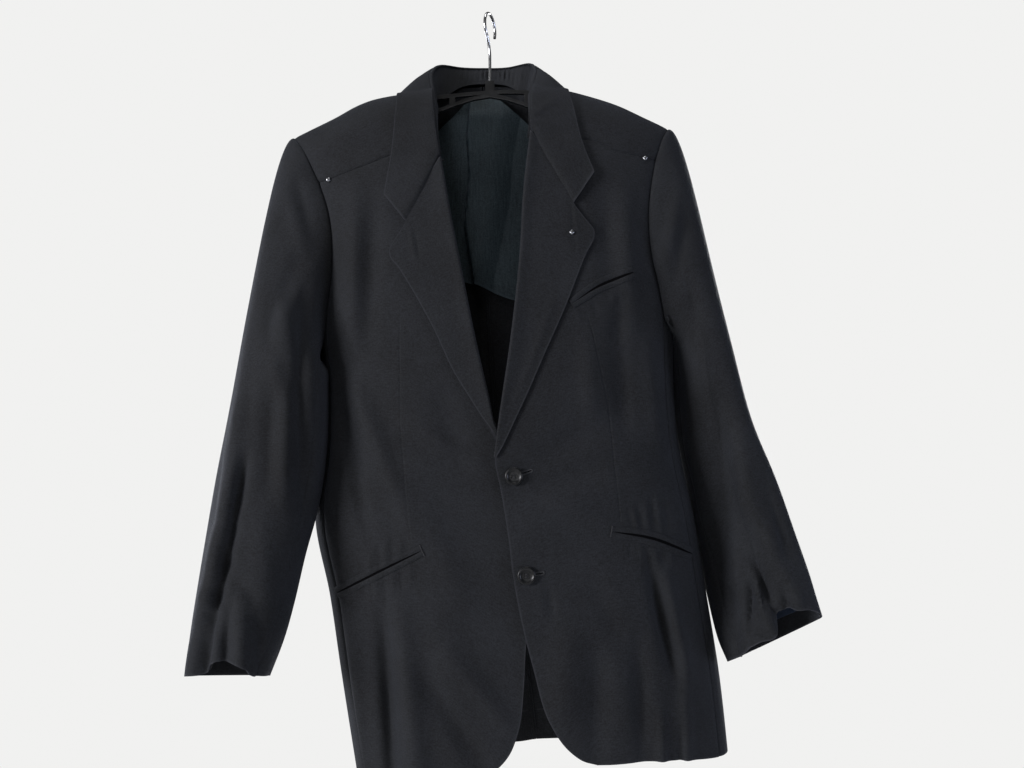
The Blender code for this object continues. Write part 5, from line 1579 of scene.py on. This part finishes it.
def copy_of(piece, name):
    """A copy with a mesh of its own."""
    only(piece)
    bpy.ops.object.duplicate(linked=False)
    twin = bpy.context.active_object
    twin.name = name
    twin.data.name = name
    return twin


print("a lathe makes", len(BUTTONS), "buttons and", len(YOKE_STUDS) + 1, "studs")

# %% Buttons
r, h = BUTTON_RADIUS, BUTTON_THICKNESS
# Shares of the radius and the thickness, from the back's edge over the rim to the dished middle
BUTTON_SHARES = [
    (0.70, 0), (0.86, 0.06), (0.96, 0.25), (1, 0.45), (1, 0.62), (0.985, 0.80), (0.94, 0.93), (0.87, 1),
    (0.80, 0.985), (0.74, 0.90), (0.69, 0.76), (0.63, 0.66), (0.55, 0.61), (0.46, 0.60),
]
BUTTON_PROFILE = [(out * r, up * h) for out, up in BUTTON_SHARES]
button = turned("button_top_horn", BUTTON_PROFILE, 56)
bpy.ops.object.select_all(action="DESELECT")
drills = []
for i in range(4):
    turn = math.radians(45 + 90 * i)
    place = (BUTTON_HOLE_SPACING * math.cos(turn), BUTTON_HOLE_SPACING * math.sin(turn), h / 2)
    bpy.ops.mesh.primitive_cylinder_add(vertices=20, radius=BUTTON_HOLE_RADIUS, depth=3 * h, location=place)
    drills.append(bpy.context.active_object)
for drill in drills:
    only(button)
    bpy.ops.object.modifier_add(type="BOOLEAN")
    button.modifiers[-1].object = drill
    button.modifiers[-1].solver = "EXACT"
    bpy.ops.object.modifier_apply(modifier=button.modifiers[-1].name)
    bpy.data.objects.remove(drill)
bottom_button = copy_of(button, "button_bottom_horn")
button_backs = {}
for piece, name in ((button, "button_top"), (bottom_button, "button_bottom")):
    x, z = BUTTONS[name]
    back = float(front_left_y(np.array([x - r, x, x + r]), np.array([z, z, z])).min()) - LAYER_GAP
    button_backs[name] = back
    settle(piece, (x, back, z), horn, [name])

# %% Studs
STUD_FOOT = 0.0003
STUD_PROFILE = [(STUD_RADIUS, 0), (STUD_RADIUS, STUD_FOOT)]
for degrees in (12, 24, 36, 48, 60, 70, 80):
    turn = math.radians(degrees)
    dome = STUD_FOOT + (STUD_HEIGHT - STUD_FOOT) * math.sin(turn)
    STUD_PROFILE.append((STUD_RADIUS * 0.97 * math.cos(turn), dome))
stud = turned("stud_lapel_chrome", STUD_PROFILE, 32)
twins = {name: copy_of(stud, f"{name}_chrome") for name in YOKE_STUDS}
for name, (x, z) in YOKE_STUDS.items():
    nearest = front_y(np.array([x - STUD_RADIUS, x, x + STUD_RADIUS]), np.full(3, z)).min()
    settle(twins[name], (x, float(nearest) - 0.0001, z), chrome, [name])
x, z = LAPEL_STUD
nearest = front_left_y(np.array([x - STUD_RADIUS, x, x + STUD_RADIUS]), np.full(3, z)).min()
settle(stud, (x, float(nearest) - 2 * LAYER_GAP - CLOTH_WALL - 0.0003, z), chrome, ["stud_lapel"])

# %% [markdown]
# ## Stitches
#
# Thread holds each button through its four holes. A purl of close stitches edges each buttonhole,
# and a bar tack closes the inner end of each hip pocket. One stitch is modelled and copied: a short
# thread that bows over the cloth.


# %% One stitch
def one_stitch(name, length, radius, bow):
    """A short thread along X that bows over, from a drawn-out ball."""
    bpy.ops.object.select_all(action="DESELECT")
    bpy.ops.mesh.primitive_uv_sphere_add(
        segments=6, ring_count=6, radius=radius, rotation=(0, math.radians(90), 0))
    piece = bpy.context.active_object
    piece.name = name
    bpy.ops.object.transform_apply(location=True, rotation=True, scale=True)
    bpy.ops.transform.resize(value=(length / 2 / radius, 1, 1), center_override=(0, 0, 0))
    bpy.ops.object.transform_apply(location=True, rotation=True, scale=True)
    for vertex in piece.data.vertices:
        vertex.co.z += bow * (1 - (2 * vertex.co.x / length) ** 2)
    return piece


def sewn_row(name, stitch, stitches):
    """Copies of one stitch, each turned to its own place, joined to one piece."""
    copies = []
    for place, way, out in stitches:
        way, out = Vector(way).normalized(), Vector(out).normalized()
        twin = copy_of(stitch, name)
        turn = Matrix((way, out.cross(way), out)).transposed().to_4x4()
        twin.data.transform(Matrix.Translation(Vector(place)) @ turn)
        copies.append(twin)
    bpy.ops.object.select_all(action="DESELECT")
    for twin in copies:
        twin.select_set(True)
    bpy.context.view_layer.objects.active = copies[0]
    bpy.ops.object.join()
    piece = bpy.context.active_object
    piece.name = name
    bpy.ops.object.shade_smooth()
    finished(piece, thread)
    print(name, len(stitches), "stitches", len(piece.data.polygons), "faces")


print("a stitch has a few dozen faces")

# %% Button threads, buttonholes and bar tacks
STITCH_LIFT = 0.0001
STRAND_STEP = 0.00042
PURL_STEP = 0.00056
PURL_OUT = 0.0013
SLIT_WIDTH = 0.0012
SLIT_WALL = 0.00015
TACK_LENGTH = 0.0112
TACK_LIFT = 0.0007
HOLE_OFFSET = BUTTON_HOLE_SPACING * math.cos(math.pi / 4)
long_stitch = one_stitch("thread_across", 2 * HOLE_OFFSET + 0.0012, 0.00022, 0.0004)
for name, (x, z) in BUTTONS.items():
    face = button_backs[name] - 0.60 * BUTTON_THICKNESS
    stitches = []
    for row in (-1, 1):
        for strand in (-1, 0, 1):
            height = z + row * HOLE_OFFSET + strand * STRAND_STEP
            over = face - STITCH_LIFT * (strand == 0)
            stitches.append(((x, over, height), (1, 0, 0.04 * strand), (0, -1, 0)))
    sewn_row(f"{name}_thread", long_stitch, stitches)

purl = one_stitch("purl", 0.0021, 0.00026, 0.0003)
HOLES = {
    "buttonhole_top": places((27, -560.8), (48, -554.5)),
    "buttonhole_bottom": places((40.5, -666.2), (60.6, -663.5)),
}
for name, (start, end) in HOLES.items():
    line = [start, ((start[0] + end[0]) / 2, (start[1] + end[1]) / 2), end]
    count = int(math.dist(start, end) / PURL_STEP)
    way = np.array([end[0] - start[0], 0, end[1] - start[1]])
    upright = (-way[2], 0, way[0])
    stitches = []
    for side in (-1, 1):
        beside = [side * PURL_OUT, side * (PURL_OUT + 0.0001)]
        row = along_line(line, front_left_y, beside, np.linspace(0, 1, count), [STITCH_LIFT] * 2)[0]
        stitches += [(tuple(p), upright, (0, -1, 0)) for p in row]
    for turn in np.radians(np.linspace(-80, 80, 7)):
        tip = np.array([end[0] + 0.0009 * math.cos(turn), end[1] + 0.0011 * math.sin(turn)])
        y = float(front_left_y(tip[0], tip[1])) - STITCH_LIFT
        stitches.append(((tip[0], y, tip[1]), (math.cos(turn), 0, math.sin(turn)), (0, -1, 0)))
    sewn_row(name, purl, stitches)
    # Painted shade: a near-black strip along the buttonhole's cut, for the shadow inside it
    across = np.linspace(-SLIT_WIDTH / 2, SLIT_WIDTH / 2, 4)
    points = along_line(line, front_left_y, across, np.linspace(0, 1, 40), [STITCH_LIFT] * len(across))
    cloth_piece(f"{name}_slit", points, (), SLIT_WALL, OUTWARDS, painted_shade_black)

tack = one_stitch("tack", 0.0019, 0.00028, 0.0003)
for name, (x, z), surface, lean in (
    ("bar_tack_right", (POCKET_MINUS[-1][0] + 0.0004, POCKET_MINUS[-1][1]), front_y, 0.45),
    ("bar_tack_left", (POCKET_PLUS[0][0] - 0.0004, POCKET_PLUS[0][1]), front_left_y, -0.17),
):
    stitches = []
    for share in np.linspace(-1, 1, 18):
        height, shift = z + share * TACK_LENGTH / 2, x - share * TACK_LENGTH / 2 * lean
        y = float(surface(shift, height)) - TACK_LIFT
        stitches.append(((shift, y, height), (1, 0, 0.10 * math.cos(9 * share)), (0, -1, 0)))
    sewn_row(name, tack, stitches)
for stitch in (long_stitch, purl, tack):
    bpy.data.objects.remove(stitch)

# %% [markdown]
# ## Hanger and hook
#
# The hanger is one flat truss of moulded plastic. Its solid already has the true outline, so we take
# a copy of its mesh, join it up and round every edge as a mould would. The hook is a steel wire,
# bent once: a curve with a round section.

# %% Hanger
MOULD_ROUNDING = 0.0005
SAME_PLACE = 0.00002

bpy.ops.object.select_all(action="DESELECT")
hanger = copy_of(frame["nodes"]["hanger"], "hanger_plastic")
bpy.ops.object.parent_clear(type="CLEAR_KEEP_TRANSFORM")
bpy.ops.object.transform_apply(location=True, rotation=True, scale=True)
bpy.ops.object.mode_set(mode="EDIT")
bpy.ops.mesh.select_all(action="SELECT")
bpy.ops.mesh.remove_doubles(threshold=SAME_PLACE)
bpy.ops.mesh.dissolve_limited(angle_limit=math.radians(1))
bpy.ops.mesh.normals_make_consistent(inside=False)
bpy.ops.object.mode_set(mode="OBJECT")
bpy.ops.object.modifier_add(type="BEVEL")
hanger.modifiers[-1].width = MOULD_ROUNDING
hanger.modifiers[-1].segments = 3
hanger.modifiers[-1].limit_method = "ANGLE"
hanger.modifiers[-1].angle_limit = math.radians(40)
bpy.ops.object.modifier_apply(modifier=hanger.modifiers[-1].name)
bpy.ops.object.shade_smooth_by_angle(angle=math.radians(35))
finished(hanger, plastic, ["hanger"])
print("hanger:", len(hanger.data.polygons), "faces")

# %% Hook
WIRE_RADIUS = 0.00175
HOOK_RADIUS = 0.017
HOOK_START, HOOK_END = -22.0, 236.0
HOOK_TURN = 70.0
HUB_TOP = -0.083
centre = WIRE_RADIUS - HOOK_RADIUS
arc = []
for degrees in np.linspace(HOOK_START, HOOK_END, 15):
    turn = math.radians(degrees)
    arc.append((HOOK_RADIUS * math.cos(turn), centre + HOOK_RADIUS * math.sin(turn)))
route = arc + [(-0.0035, -0.0390), (-0.0006, -0.0480), (0.0, -0.0580), (0.0, HUB_TOP + 0.0005)]
path = curve(route, np.linspace(0, 1, 150))
bpy.ops.object.select_all(action="DESELECT")
bpy.ops.curve.primitive_nurbs_path_add()
hook = bpy.context.active_object
hook.name = "hook_wire"
hook.data.splines.clear()
wire = hook.data.splines.new("POLY")
wire.points.add(len(path) - 1)
turn = math.radians(HOOK_TURN)
for point, (s, z) in zip(wire.points, path):
    point.co = (s * math.cos(turn), s * math.sin(turn), z, 1)
hook.data.bevel_depth = WIRE_RADIUS
hook.data.bevel_resolution = 6
hook.data.use_fill_caps = True
bpy.ops.object.convert(target="MESH")
bpy.ops.object.shade_smooth_by_angle(angle=math.radians(40))
finished(hook, steel, ["hook"])
print("hook:", len(hook.data.polygons), "faces")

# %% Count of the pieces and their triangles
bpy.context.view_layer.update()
triangles = sum(len(p.vertices) - 2 for o in scene.objects if o.name in made for p in o.data.polygons)
print("pieces made:", len(made), "with", triangles, "triangles")
